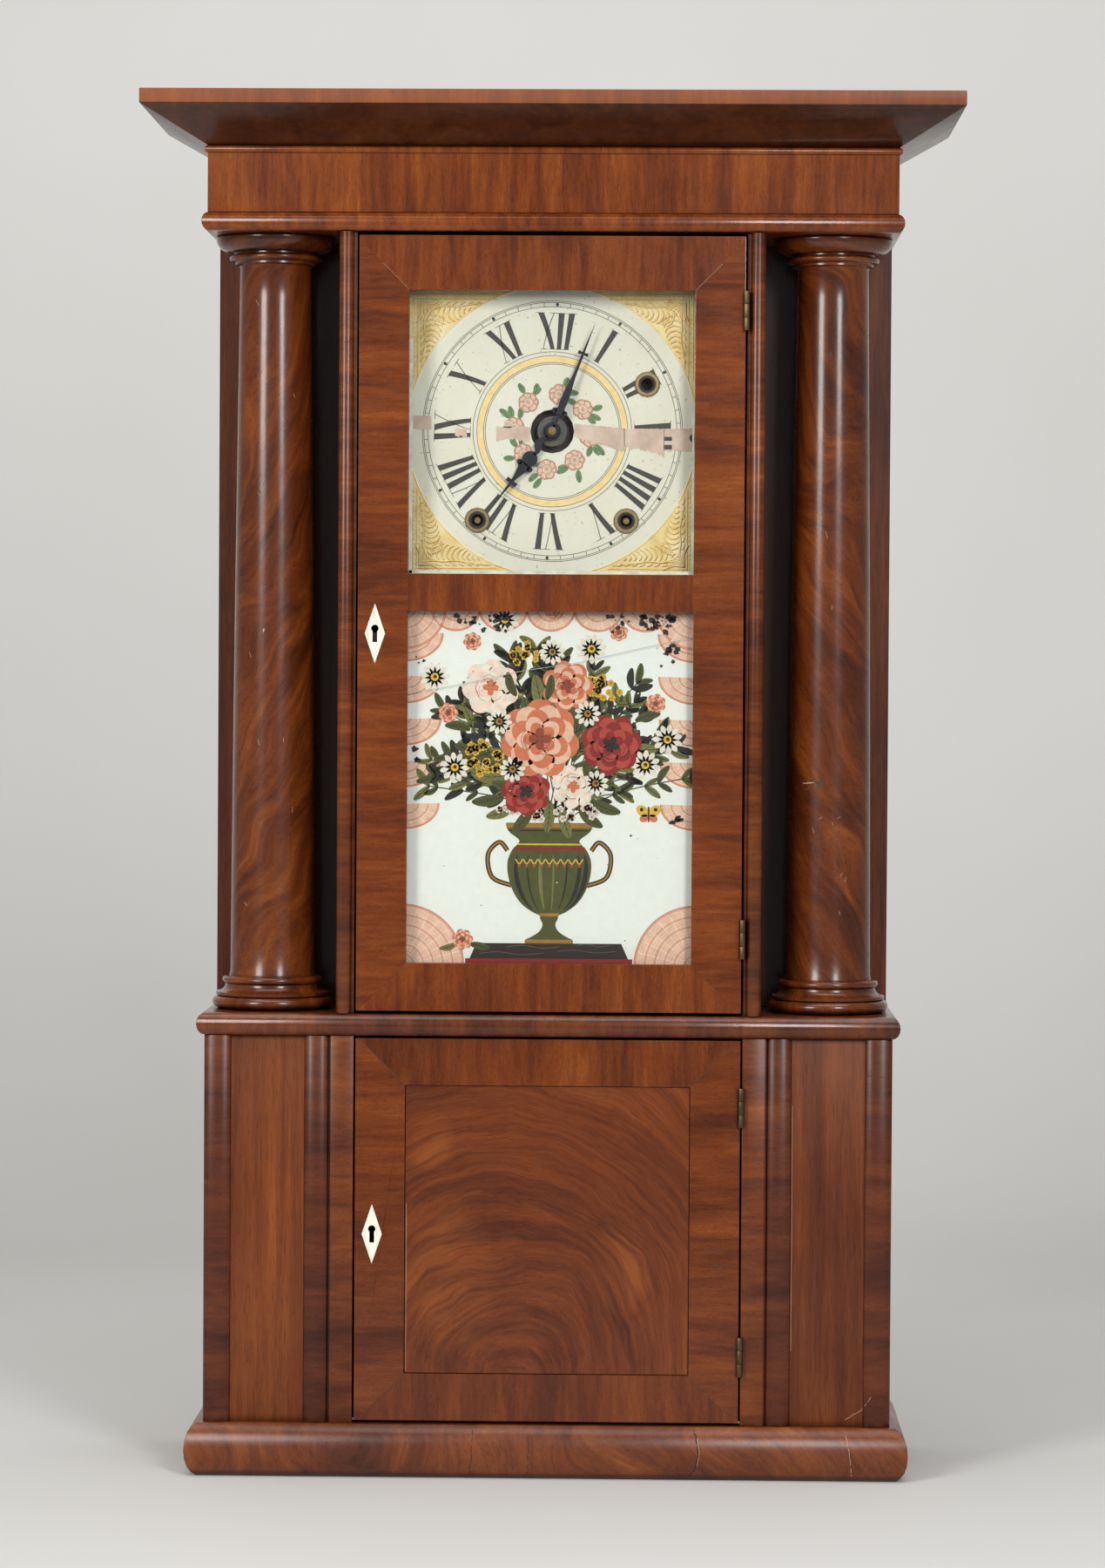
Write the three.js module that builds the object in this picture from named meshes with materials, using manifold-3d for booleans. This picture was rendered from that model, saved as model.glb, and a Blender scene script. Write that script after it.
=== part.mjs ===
// Column-and-cornice shelf clock with two doors and a weight-driven movement.
// Millimetres, +Z up. The origin is on the floor under the middle of the clock's box.
// -Y is the front. Azimuth 0 looks along +Y, with +X on the right.

import * as THREE from 'three';
import { mergeVertices } from 'three/addons/utils/BufferGeometryUtils.js';
import Module from 'manifold-3d';

const wasm = await Module();
wasm.setup();

// ---------------------------------------------------------------- driving dimensions

// Case, from the floor up
const caseWidth = 493;
const caseDepth = 153.5;
const baseHeight = 38;
const lowerHeight = 278;
const shelfThickness = 16;
const columnHeight = 558.6;
const mouldingHeight = 13.4;
const friezeHeight = 41.7;
const beadHeight = 5.5;
const splayHeight = 25;
const fasciaHeight = 10.2;
const corniceOverhang = 44.5;

// Projections of the mouldings beyond the case
const baseToeOut = 4.4;
const baseBulgeOut = 12.5;
const baseTopOut = 4;
const baseFillet = 1.5;
const shelfNoseOut = 5.3;
const mouldingNoseOut = 4.1;
const beadOut = 2.4;
const nosedBoardEdge = 8;
const noseHeightPerDepth = 2.6;
const fasciaThickness = 14.5;
const corniceLedge = 22;
const corniceFoot = 12;

// Boards
const boardThickness = 12;
const backboardThickness = 8;
const topBoardThickness = 10;
const baseWall = 15;
const friezeWall = 15;
const joineryGap = 0.3;
const cutOvershoot = 1;
const joinOverlap = 1;

// Centre box and its doors
const doorwayHalfWidth = 139.2;
const innerWallThickness = 13;
const columnRecess = 98.5;
const doorThickness = 20;
const doorSideGap = 1.4;
const upperDoorGapBelow = 2;
const upperDoorGapAbove = 2.6;
const lowerDoorGapBelow = 1.9;
const lowerDoorGapAbove = 1.5;
const openingHalfWidth = 102;
const dialOpeningHeight = 202.3;
const tabletOpeningHeight = 251.7;
const middleRailHeight = 26.7;
const upperDoorBottomRail = 34.5;
const panelHeight = 207;
const lowerDoorBottomRail = 34.1;
const rabbetWidth = 5.3;
const rabbetDepth = 10;
const glassThickness = 2;
const glassEdgeGap = 0.3;
const panelSinkDepth = 0.8;
const panelFlangeThickness = 6;
const bottomBoardBehindDoor = 2;
const passageSideGap = 1;
const passageBehindDoor = 4.5;

// Lower flanks, from the doorway outwards: strip, bead, flat panel and corner bead
const cornerBeadWidth = 19.5;
const flankStripWidth = 16.3;
const flankBeadWidth = 17.6;
const flankBeadOut = 3.6;
const flankQuirk = 1.5;
const flankStripSink = 0.6;
const pilasterBeadWidth = 11;
const pilasterBeadOut = 5;
const pilasterSink = 3;

// Columns
const columnOffset = 202;
const columnAxisBehindFront = 54.5;
const shaftBottomRadius = 30.5;
const shaftTopRadius = 25.7;
const columnSides = 24;
const columnFootHeight = 27;
const columnHeadHeight = 22.5;
const shaftSwell = 0.5;
const neckRingOut = 3.4;
const footTorusCentre = 37;
const footTorusOut = 6.5;
const footTorusHalf = 4.85;
const footFilletRadius = 40.8;
const footFilletLow = 9.9;
const footFilletHigh = 12.2;
const footHollowRadius = 34.1;
const footHollowLow = 14.6;
const footHollowHigh = 17.6;
const upperTorusCentre = 33.4;
const upperTorusMiddle = 20.9;
const upperTorusOut = 2.8;
const upperTorusHalf = 2.4;
const neckFilletLow = 19.9;
const neckFilletHigh = 18.6;
const neckRingCentre = 30.5;
const neckRingMiddle = 15.4;
const neckRingWidth = 2.9;
const neckRingHalf = 2.8;
const capCentre = 30.2;
const capMiddle = 1.4;
const capOut = 12.8;
const capHalf = 8.6;
const capTopRadius = 42.4;

// Hinges and key plates
const hingeLength = 28;
const knuckleRadius = 2.2;
const hingePinRadius = 1;
const hingeBoreClearance = 0.3;
const leafThickness = 1;
const leafWidth = 13;
const leafSpacing = 0.4;
const knuckleEndLength = 9;
const hingeRunGap = 0.3;
const leafBehindKnuckle = 0.5;
const tabInKnuckle = 0.4;
const pinEndInset = 1;
const upperHingeInset = 39;
const lowerHingeInset = 34;
const escutcheonWidth = 14.6;
const escutcheonHeight = 43;
const escutcheonThickness = 1.5;
const escutcheonInset = 12.4;
const upperEscutcheonRise = 270;
const lowerEscutcheonRise = 134;
const keyholeWidth = 5.4;
const keyholeHeight = 12.5;
const keyholeSlot = 3.4;

// Dial
const dialWidth = 277.8;
const dialHeight = 226;
const dialThickness = 8;
const dialBehindFront = 24.5;
const dialHoleRadius = 15.7;
const centreAboveOpeningMiddle = 1.9;
const windingOffset = 53.5;
const windingDrop = 64;
const alarmOffset = 68;
const alarmRise = 34;
const grommetFlangeRadius = 9.2;
const grommetTubeRadius = 6.2;
const grommetBoreRadius = 4.7;
const grommetFlangeThickness = 1.5;
const grommetBoreBevel = 0.5;
const grommetRimBevel = 0.8;
const runningGap = 0.3;

// Hands
const minuteHandLength = 82;
const hourHandLength = 66;
const handThickness = 0.9;
const hourHandAheadOfDial = 3;
const minuteHandAheadOfDial = 6;
const handHubRadius = 4.6;
const minuteHandAngle = 21.6;
const hourHandAngle = 218.4;
const minuteCrossAt = 59.8;
const minuteCrossHalf = 3.6;
const minuteLobeAt = 15.2;
const minuteWidest = 3.4;
const hourCrossAt = 46.7;
const hourCrossHalf = 4.6;
const hourLobeAt = 30;
const hourWidest = 4.4;
const hourDiscRadius = 5.5;
const hourDiscAt = 25.5;
const hourHubExtra = 2.2;

// Movement
const plateHalfWidth = 72;
const plateBelowDrum = 32;
const plateAbovePivot = 10;
const plateThickness = 2;
const plateSpacing = 38;
const plateBehindDial = 8;
const pillarRadius = 3.5;
const arborRadius = 1.6;
const drumArborRadius = 2.2;
const centreArborRadius = 1.8;
const wheelThickness = 2;
const pinionThickness = 4;
const toothTipShare = 0.774;
const toothRootShare = 1.075;
const toothRootWidthShare = 0.2232;
const toothTipWidthShare = 0.108;
const greatTeeth = 48;
const secondPinionLeaves = 12;
const greatModule = 1.6;
const secondTeeth = 36;
const centrePinionLeaves = 12;
const secondModule = 1.5;
const centreTeeth = 60;
const thirdPinionLeaves = 6;
const centreModule = 1;
const thirdTeeth = 48;
const escapePinionLeaves = 6;
const thirdModule = 1;
const escapeTeeth = 38;
const escapeRadius = 19;
const cannonLeaves = 12;
const minuteWheelTeeth = 36;
const minutePinionLeaves = 10;
const hourWheelTeeth = 40;
const motionCentreDistance = 19.2;
const escapeBelowPivot = 26;
const pivotAboveDialCentre = 78;
const escapeWheelThickness = 1.2;
const escapeToothDepth = 2.6;
const escapeHeelShare = 0.22;
const escapeTipShare = 0.3;
const escapeFaceShare = 0.34;
const cannonBehindWheel = 0.4;
const centreTipAheadOfHand = 2.6;
const centreNutRadius = 3;
const centreNutInset = 1.2;
const centreNutThickness = 1.2;
const greatWheelBehindPlate = 4;
const greatToSecondPlane = 8;
const wheelPlaneStep = 6;
const pillarLap = 0.5;

// Pendulum
const pendulumLength = 348;
const pendulumBehindPlate = 12;
const rodRadius = 1.2;
const bobRadius = 27;
const bobThickness = 12;
const suspensionWidth = 6;
const suspensionThickness = 0.4;
const crutchDrop = 38;
const crutchThickness = 1.5;
const crutchHalfWidth = 1.6;
const crutchBehindPlate = 4.5;
const crutchBridge = 3;
const crutchHubRadius = 2.8;
const crutchSideGap = 0.4;
const crutchPastRod = 3;
const cockHalfWidth = 5;
const cockPastPendulum = 6;
const cockLow = 4;
const cockHigh = 15;
const slitHalfWidth = 1.2;
const slitHalfDepth = 4;
const slitLow = 3;
const slitHigh = 10;
const footExtra = 0.5;
const stripLength = 14;
const stripAbovePivot = 9.6;
const rodBelowBob = 7;
const ratingNutRadius = 4;
const ratingNutHeight = 3;

// Weights, cords and pulleys
const weightRadius = 25;
const weightLength = 200;
const weightOffset = 111;
const weightAheadOfBack = 31;
const hookLength = 14;
const cordRadius = 0.7;
const drumCoreRadius = 5;
const drumLength = 18;
const drumFlangeRadius = 10;
const drumFlangeThickness = 1.5;
const pulleyGrooveRadius = 15;
const pulleyRimRadius = 17.5;
const pulleyThickness = 5;
const pulleyAxleRadius = 1.2;
const pulleyAxleLength = 16;
const pulleySlotMargin = 4;
const pulleySlotSideGap = 1;
const pulleyGrooveHalf = 0.9;
const drumMiddleBehindPlate = 20;
const windingSquareIn = 5;

// Striking
const hammerOffset = 40;
const hammerBelowDialCentre = 15;
const hammerArmLength = 130;
const hammerHeadRadius = 5;
const hammerHeadLength = 11.5;
const gongRadius = 32;
const gongWireRadius = 1.4;
const gongTurns = 3;
const gongAheadOfBack = 10;
const gongPostRadius = 7;
const gongPostLength = 15;

// ---------------------------------------------------------------- derived places

const halfWidth = caseWidth / 2;
const frontY = (corniceOverhang - caseDepth) / 2;
const backY = frontY + caseDepth;
const backboardY = backY - backboardThickness;
const lowerZ = baseHeight;
const shelfZ = lowerZ + lowerHeight;
const columnZ = shelfZ + shelfThickness;
const mouldingZ = columnZ + columnHeight;
const friezeZ = mouldingZ + mouldingHeight;
const beadZ = friezeZ + friezeHeight;
const splayZ = beadZ + beadHeight;
const fasciaZ = splayZ + splayHeight;
const totalHeight = fasciaZ + fasciaHeight;

const innerWallHalfWidth = doorwayHalfWidth + innerWallThickness;
const sideInnerX = halfWidth - boardThickness;
const recessY = frontY + columnRecess;
const doorHalfWidth = doorwayHalfWidth - doorSideGap;
const doorBackY = frontY + doorThickness;
const glassY = doorBackY - rabbetDepth;
const upperDoorZ = columnZ + upperDoorGapBelow;
const upperDoorTop = mouldingZ - upperDoorGapAbove;
const tabletZ = upperDoorZ + upperDoorBottomRail;
const tabletTop = tabletZ + tabletOpeningHeight;
const dialOpeningZ = tabletTop + middleRailHeight;
const dialOpeningTop = dialOpeningZ + dialOpeningHeight;
const lowerDoorZ = lowerZ + lowerDoorGapBelow;
const lowerDoorTop = shelfZ - lowerDoorGapAbove;
const panelZ = lowerDoorZ + lowerDoorBottomRail;
const panelTop = panelZ + panelHeight;

const hingeX = doorwayHalfWidth - doorSideGap / 2;
const hingeY = frontY - knuckleRadius - joineryGap / 2;

const dialY = frontY + dialBehindFront;
const dialBackY = dialY + dialThickness;
const dialZ = (dialOpeningZ + dialOpeningTop) / 2 + centreAboveOpeningMiddle;
const drumZ = dialZ - windingDrop;
const frontPlateY = dialBackY + plateBehindDial;
const trainY = frontPlateY + plateThickness;
const backPlateY = trainY + plateSpacing;
const pivotZ = dialZ + pivotAboveDialCentre;
const plateBottom = drumZ - plateBelowDrum;
const plateTop = pivotZ + plateAbovePivot;
const pendulumY = backPlateY + plateThickness + pendulumBehindPlate;
const weightY = backboardY - weightAheadOfBack;
const cordDrumY = trainY + drumMiddleBehindPlate;

// ---------------------------------------------------------------- materials

const finishes = {
  mahogany: { color: 0x6b2410, roughness: 0.3, metalness: 0 },
  pine: { color: 0x8a5a34, roughness: 0.8, metalness: 0 },
  bone: { color: 0xe9e0c8, roughness: 0.4, metalness: 0 },
  glass: { color: 0xdfe8e6, roughness: 0.05, metalness: 0, transparent: true, opacity: 0.35 },
  painted_glass: { color: 0xe6e3da, roughness: 0.1, metalness: 0 },
  dial_paint: { color: 0xd9d6c0, roughness: 0.5, metalness: 0 },
  brass: { color: 0xb08d4a, roughness: 0.35, metalness: 1 },
  dark_brass: { color: 0x6e5a38, roughness: 0.5, metalness: 1 },
  steel: { color: 0x3a3a40, roughness: 0.35, metalness: 1 },
  cast_iron: { color: 0x33302e, roughness: 0.7, metalness: 0.6 },
  cord: { color: 0xa08c68, roughness: 0.9, metalness: 0 },
};

const clock = new THREE.Group();

function addPiece(name, geometry, finish) {
  const mesh = new THREE.Mesh(geometry, new THREE.MeshStandardMaterial(finishes[finish]));
  mesh.name = name;
  clock.add(mesh);
}

// ---------------------------------------------------------------- solid helpers

// Keeps only positions, shares vertices and turns the faces outwards.
function closedGeometry(geometry) {
  const plain = new THREE.BufferGeometry();
  plain.setAttribute('position', geometry.getAttribute('position').clone());
  if (geometry.index) {
    plain.setIndex(geometry.index.clone());
  }
  const merged = mergeVertices(plain, 1e-4);
  const place = merged.getAttribute('position');
  const index = Array.from(merged.index.array);
  const kept = [];
  let volume = 0;
  const corner = [new THREE.Vector3(), new THREE.Vector3(), new THREE.Vector3()];
  for (let i = 0; i < index.length; i += 3) {
    const [a, b, c] = index.slice(i, i + 3);
    if (a === b || b === c || c === a) {
      continue;
    }
    kept.push(a, b, c);
    corner[0].fromBufferAttribute(place, a);
    corner[1].fromBufferAttribute(place, b);
    corner[2].fromBufferAttribute(place, c);
    volume += corner[0].dot(corner[1].cross(corner[2]));
  }
  if (volume < 0) {
    kept.reverse();
  }
  merged.setIndex(kept);
  return merged;
}

function toSolid(geometry) {
  const closed = closedGeometry(geometry);
  const vertProperties = new Float32Array(closed.getAttribute('position').array);
  const triVerts = new Uint32Array(closed.index.array);
  return new wasm.Manifold(new wasm.Mesh({ numProp: 3, vertProperties, triVerts }));
}

function fromSolid(solid) {
  const mesh = solid.getMesh();
  const geometry = new THREE.BufferGeometry();
  geometry.setAttribute('position', new THREE.BufferAttribute(mesh.vertProperties, 3));
  geometry.setIndex(Array.from(mesh.triVerts));
  return geometry;
}

function join(...geometries) {
  return fromSolid(geometries.map(toSolid).reduce((sum, next) => sum.add(next)));
}

function cut(geometry, ...tools) {
  return fromSolid(tools.map(toSolid).reduce((rest, tool) => rest.subtract(tool), toSolid(geometry)));
}

function box(x0, x1, y0, y1, z0, z1) {
  const geometry = new THREE.BoxGeometry(x1 - x0, y1 - y0, z1 - z0);
  geometry.translate((x0 + x1) / 2, (y0 + y1) / 2, (z0 + z1) / 2);
  return closedGeometry(geometry);
}

// A cylinder along Y, Z or X between two places on that axis.
function rodY(radius, x, z, y0, y1, sides = 12) {
  const geometry = new THREE.CylinderGeometry(radius, radius, y1 - y0, sides);
  geometry.translate(x, (y0 + y1) / 2, z);
  return closedGeometry(geometry);
}

function rodZ(radius, x, y, z0, z1, sides = 12) {
  const geometry = new THREE.CylinderGeometry(radius, radius, z1 - z0, sides);
  geometry.rotateX(Math.PI / 2);
  geometry.translate(x, y, (z0 + z1) / 2);
  return closedGeometry(geometry);
}

function rodX(radius, y, z, x0, x1, sides = 12) {
  const geometry = new THREE.CylinderGeometry(radius, radius, x1 - x0, sides);
  geometry.rotateZ(Math.PI / 2);
  geometry.translate((x0 + x1) / 2, y, z);
  return closedGeometry(geometry);
}

// A flat outline drawn as seen from the front, x to the right and z up, from y0 back to y1.
function frontPlateOf(shape, y0, y1, curveSegments = 6) {
  const options = { depth: y1 - y0, bevelEnabled: false, curveSegments };
  const geometry = new THREE.ExtrudeGeometry(shape, options);
  geometry.rotateX(Math.PI / 2);
  geometry.translate(0, y1, 0);
  return closedGeometry(geometry);
}

// A flat outline drawn in plan, x and y, from z0 up to z1.
function planBoard(shape, z0, z1) {
  const geometry = new THREE.ExtrudeGeometry(shape, { depth: z1 - z0, bevelEnabled: false });
  geometry.translate(0, 0, z0);
  return closedGeometry(geometry);
}

function outline(points) {
  return new THREE.Shape(points.map(([a, b]) => new THREE.Vector2(a, b)));
}

function rectangle(x0, x1, z0, z1) {
  return outline([[x0, z0], [x1, z0], [x1, z1], [x0, z1]]);
}

function circleHole(x, z, radius) {
  const hole = new THREE.Path();
  hole.absarc(x, z, radius, 0, 2 * Math.PI, true);
  return hole;
}

// A body turned round the Z axis. The profile is [radius, height] and starts and ends on the axis.
function turned(profile, sides) {
  const geometry = new THREE.LatheGeometry(profile.map(([r, h]) => new THREE.Vector2(r, h)), sides);
  geometry.rotateX(Math.PI / 2);
  return closedGeometry(geometry);
}

// A body turned round an axis along Y. The profile is [radius, place along +Y].
function turnedAlongY(profile, x, z, sides) {
  const geometry = new THREE.LatheGeometry(profile.map(([r, y]) => new THREE.Vector2(r, y)), sides);
  geometry.translate(x, 0, z);
  return closedGeometry(geometry);
}

// Points of an arc from one angle to another, in degrees, both ends included.
function arcPoints(centreA, centreB, radiusA, radiusB, fromDeg, toDeg, steps) {
  const points = [];
  for (let i = 0; i <= steps; i += 1) {
    const angle = THREE.MathUtils.degToRad(fromDeg + ((toDeg - fromDeg) * i) / steps);
    points.push([centreA + radiusA * Math.cos(angle), centreB + radiusB * Math.sin(angle)]);
  }
  return points;
}

// A moulding mitred round the left side, the front and the right side of the case.
// The profile is a closed list of [distance out from the case, height].
function mitredMoulding(profile) {
  const plan = (out) => [
    [-halfWidth - out, backY],
    [-halfWidth - out, frontY - out],
    [halfWidth + out, frontY - out],
    [halfWidth + out, backY],
  ];
  const asDrawn = profile.map(([out, z]) => new THREE.Vector2(out, z));
  const section = THREE.ShapeUtils.isClockWise(asDrawn) ? asDrawn.reverse() : asDrawn;
  const positions = section.flatMap((point) => plan(point.x).flatMap(([x, y]) => [x, y, point.y]));
  const index = [];
  const count = section.length;
  for (let i = 0; i < count; i += 1) {
    const next = (i + 1) % count;
    for (let k = 0; k < 3; k += 1) {
      const [a, b, c, d] = [4 * i + k, 4 * next + k, 4 * next + k + 1, 4 * i + k + 1];
      index.push(a, b, c, a, c, d);
    }
  }
  for (const [a, b, c] of THREE.ShapeUtils.triangulateShape(section, [])) {
    index.push(4 * b, 4 * a, 4 * c);
    index.push(4 * a + 3, 4 * b + 3, 4 * c + 3);
  }
  const geometry = new THREE.BufferGeometry();
  geometry.setAttribute('position', new THREE.Float32BufferAttribute(positions, 3));
  geometry.setIndex(index);
  return closedGeometry(geometry);
}

// A round wire through the given points, with flat ends.
function wire(points, radius, sides) {
  const positions = [];
  const index = [];
  const directions = points.map((point, i) => {
    const before = points[Math.max(i - 1, 0)];
    const after = points[Math.min(i + 1, points.length - 1)];
    return after.clone().sub(before).normalize();
  });
  const side = new THREE.Vector3(1, 0, 0);
  if (Math.abs(directions[0].x) > 0.8) {
    side.set(0, 1, 0);
  }
  points.forEach((point, i) => {
    side.addScaledVector(directions[i], -side.dot(directions[i])).normalize();
    const up = directions[i].clone().cross(side);
    for (let k = 0; k < sides; k += 1) {
      const angle = (2 * Math.PI * k) / sides;
      const rim = point.clone();
      rim.addScaledVector(side, radius * Math.cos(angle));
      rim.addScaledVector(up, radius * Math.sin(angle));
      positions.push(rim.x, rim.y, rim.z);
    }
  });
  for (let i = 0; i + 1 < points.length; i += 1) {
    for (let k = 0; k < sides; k += 1) {
      const next = (k + 1) % sides;
      const [a, b] = [i * sides + k, i * sides + next];
      index.push(a, b, b + sides, a, b + sides, a + sides);
    }
  }
  const last = (points.length - 1) * sides;
  for (let k = 1; k + 1 < sides; k += 1) {
    index.push(0, k + 1, k);
    index.push(last, last + k, last + k + 1);
  }
  const geometry = new THREE.BufferGeometry();
  geometry.setAttribute('position', new THREE.Float32BufferAttribute(positions, 3));
  geometry.setIndex(index);
  return closedGeometry(geometry);
}

// ---------------------------------------------------------------- case

function buildBase() {
  const middle = baseHeight / 2;
  const bulge = arcPoints(baseToeOut, middle, baseBulgeOut - baseToeOut, middle - baseFillet, -90, 90, 8);
  bulge[0] = [baseToeOut, 0];
  bulge[bulge.length - 1] = [baseTopOut, baseHeight];
  return mitredMoulding([[-baseWall, 0], ...bulge, [-baseWall, baseHeight]]);
}

// One side board, and the front stile with its beads in front of it, for the +X side.
function lowerFlankPlan() {
  const stripFront = frontY + flankStripSink;
  const panelFront = frontY + flankBeadOut;
  const beadEdge = doorwayHalfWidth + flankStripWidth + flankQuirk;
  const panelEdge = beadEdge + flankBeadWidth;
  const cornerArc = arcPoints(halfWidth - cornerBeadWidth / 2, panelFront, cornerBeadWidth / 2,
    flankBeadOut, 0, -180, 8);
  const beadArc = arcPoints(panelEdge - flankBeadWidth / 2, panelFront, flankBeadWidth / 2,
    flankBeadOut, 0, -180, 8);
  return outline([
    [halfWidth, backY],
    ...cornerArc,
    ...beadArc,
    [beadEdge - flankQuirk, panelFront],
    [beadEdge - flankQuirk, stripFront],
    [doorwayHalfWidth, stripFront],
    [doorwayHalfWidth, panelFront + boardThickness],
    [sideInnerX, panelFront + boardThickness],
    [sideInnerX, backY],
  ]);
}

function mirrored(geometry) {
  const copy = geometry.clone();
  copy.scale(-1, 1, 1);
  return closedGeometry(copy);
}

// A full board with a rounded nose on its front and sides, notched behind for the backboard.
function nosedBoard(nose, z0, z1, cutOut) {
  const height = z1 - z0;
  const depth = height / noseHeightPerDepth;
  const lap = nosedBoardEdge / 2;
  const flat = outline([
    [-halfWidth + lap, frontY + lap],
    [halfWidth - lap, frontY + lap],
    [halfWidth - lap, backY],
    [sideInnerX + joineryGap, backY],
    [sideInnerX + joineryGap, backboardY],
    ...cutOut,
    [-sideInnerX - joineryGap, backboardY],
    [-sideInnerX - joineryGap, backY],
    [-halfWidth + lap, backY],
  ]);
  const rounded = arcPoints(nose - depth, z0 + height / 2, depth, height / 2, -90, 90, 8);
  const edge = mitredMoulding([[-nosedBoardEdge, z0], ...rounded, [-nosedBoardEdge, z1]]);
  return join(planBoard(flat, z0, z1), edge);
}

function buildMiddleShelf() {
  const passHalfWidth = doorwayHalfWidth - passageSideGap;
  const passFront = doorBackY + passageBehindDoor;
  return nosedBoard(shelfNoseOut, shelfZ, columnZ, [
    [passHalfWidth, backboardY],
    [passHalfWidth, passFront],
    [-passHalfWidth, passFront],
    [-passHalfWidth, backboardY],
  ]);
}

// Side board and the board behind the column, for the +X side.
function upperSidePlan() {
  return outline([
    [innerWallHalfWidth, recessY],
    [halfWidth, recessY],
    [halfWidth, backY],
    [sideInnerX, backY],
    [sideInnerX, recessY + boardThickness],
    [innerWallHalfWidth, recessY + boardThickness],
  ]);
}

function innerWallPlan() {
  const wallFront = frontY + pilasterSink;
  const beadCentre = innerWallHalfWidth - pilasterBeadWidth / 2;
  const bead = arcPoints(beadCentre, wallFront, pilasterBeadWidth / 2, pilasterBeadOut, 0, -180, 8);
  return outline([
    [innerWallHalfWidth, backboardY],
    ...bead,
    [doorwayHalfWidth, wallFront],
    [doorwayHalfWidth, backboardY],
  ]);
}

// Heights are from the shelf at the foot, and from the board above at the head.
function buildColumn(x) {
  const foot = [
    [0, 0],
    ...arcPoints(footTorusCentre, footTorusHalf, footTorusOut, footTorusHalf, -90, 90, 5),
    [footFilletRadius, footFilletLow],
    [footFilletRadius, footFilletHigh],
    [footHollowRadius, footHollowLow],
    [footHollowRadius, footHollowHigh],
    ...arcPoints(upperTorusCentre, upperTorusMiddle, upperTorusOut, upperTorusHalf, -70, 90, 3),
    [shaftBottomRadius, columnFootHeight],
  ];
  const top = columnHeight;
  const head = [
    [shaftTopRadius, top - columnHeadHeight],
    [shaftTopRadius + neckRingOut, top - neckFilletLow],
    [shaftTopRadius + neckRingOut, top - neckFilletHigh],
    ...arcPoints(neckRingCentre, top - neckRingMiddle, neckRingWidth, neckRingHalf, -90, 90, 3),
    ...arcPoints(capCentre, top - capMiddle, capOut, capHalf, -80, 0, 4),
    [capTopRadius, top - joineryGap],
    [0, top - joineryGap],
  ];
  const shaftLength = top - columnHeadHeight - columnFootHeight;
  const entasis = [0.33, 0.66].map((share) => {
    const taper = (shaftBottomRadius - shaftTopRadius) * share;
    const swell = shaftSwell * Math.sin(Math.PI * share);
    return [shaftBottomRadius - taper + swell, columnFootHeight + shaftLength * share];
  });
  const column = turned([...foot, ...entasis, ...head], columnSides);
  column.translate(x, frontY + columnAxisBehindFront, columnZ);
  return column;
}

// The pulley's plane stands on the line in plan from the drum's cord to the weight.
const drumReach = drumCoreRadius + cordRadius + runningGap;
const pulleyReach = pulleyGrooveRadius + cordRadius + runningGap;

function pulleyLayout(sign) {
  const drumPoint = new THREE.Vector3(sign * (windingOffset + drumReach), cordDrumY, drumZ);
  const weightPoint = new THREE.Vector3(sign * weightOffset, weightY, 0);
  const along = new THREE.Vector3(weightPoint.x - drumPoint.x, weightPoint.y - drumPoint.y, 0);
  along.normalize();
  const axleZ = friezeZ + pulleyAxleRadius + runningGap;
  const centre = weightPoint.clone().addScaledVector(along, -pulleyReach);
  centre.z = axleZ;
  return { drumPoint, weightPoint, along, centre };
}

function turnedPlace(geometry, layout) {
  const copy = geometry.clone();
  copy.rotateZ(Math.atan2(layout.along.y, layout.along.x));
  copy.translate(layout.centre.x, layout.centre.y, 0);
  return closedGeometry(copy);
}

function buildMouldingBoard() {
  const board = nosedBoard(mouldingNoseOut, mouldingZ, friezeZ, []);
  const halfSlot = pulleyRimRadius + pulleySlotMargin;
  const halfSlotWidth = pulleyThickness / 2 + pulleySlotSideGap;
  const slot = box(-halfSlot, halfSlot, -halfSlotWidth, halfSlotWidth, mouldingZ - cutOvershoot,
    friezeZ + cutOvershoot);
  return cut(board, turnedPlace(slot, pulleyLayout(1)), turnedPlace(slot, pulleyLayout(-1)));
}

function buildFrieze() {
  const beadArc = arcPoints(0, beadZ + beadHeight / 2, beadOut, beadHeight / 2, -90, 90, 4);
  return mitredMoulding([[-friezeWall, friezeZ], [0, friezeZ], ...beadArc, [-friezeWall, splayZ]]);
}

const topBoardOut = corniceOverhang - fasciaThickness;

function buildCornice() {
  const ledge = totalHeight - topBoardThickness;
  return mitredMoulding([
    [-friezeWall, splayZ],
    [0, splayZ],
    [corniceOverhang, fasciaZ],
    [corniceOverhang, totalHeight],
    [topBoardOut, totalHeight],
    [topBoardOut, ledge],
    [topBoardOut - corniceLedge, ledge],
    [-friezeWall, splayZ + corniceFoot],
  ]);
}

function buildTopBoard() {
  const x = halfWidth + topBoardOut;
  return box(-x, x, frontY - topBoardOut, backY, totalHeight - topBoardThickness, totalHeight);
}

function buildBackboard() {
  const wide = sideInnerX;
  const narrow = halfWidth - friezeWall;
  const top = totalHeight - topBoardThickness;
  const lower = box(-wide, wide, backboardY, backY, lowerZ, friezeZ);
  const upper = box(-narrow, narrow, backboardY, backY, friezeZ, top);
  return join(lower, upper);
}

// ---------------------------------------------------------------- hinges and key plates

const leafY = hingeY + knuckleRadius + leafBehindKnuckle;

// A leaf's slice beside hingeX. The fixed leaf (side 1) lies in the wall, the moving one in the door.
function leafSlice(side, y0, y1, z0, z1) {
  const near = hingeX + side * (leafSpacing / 2);
  const far = near + side * leafThickness;
  return box(Math.min(near, far), Math.max(near, far), y0, y1, z0, z1);
}

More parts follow.
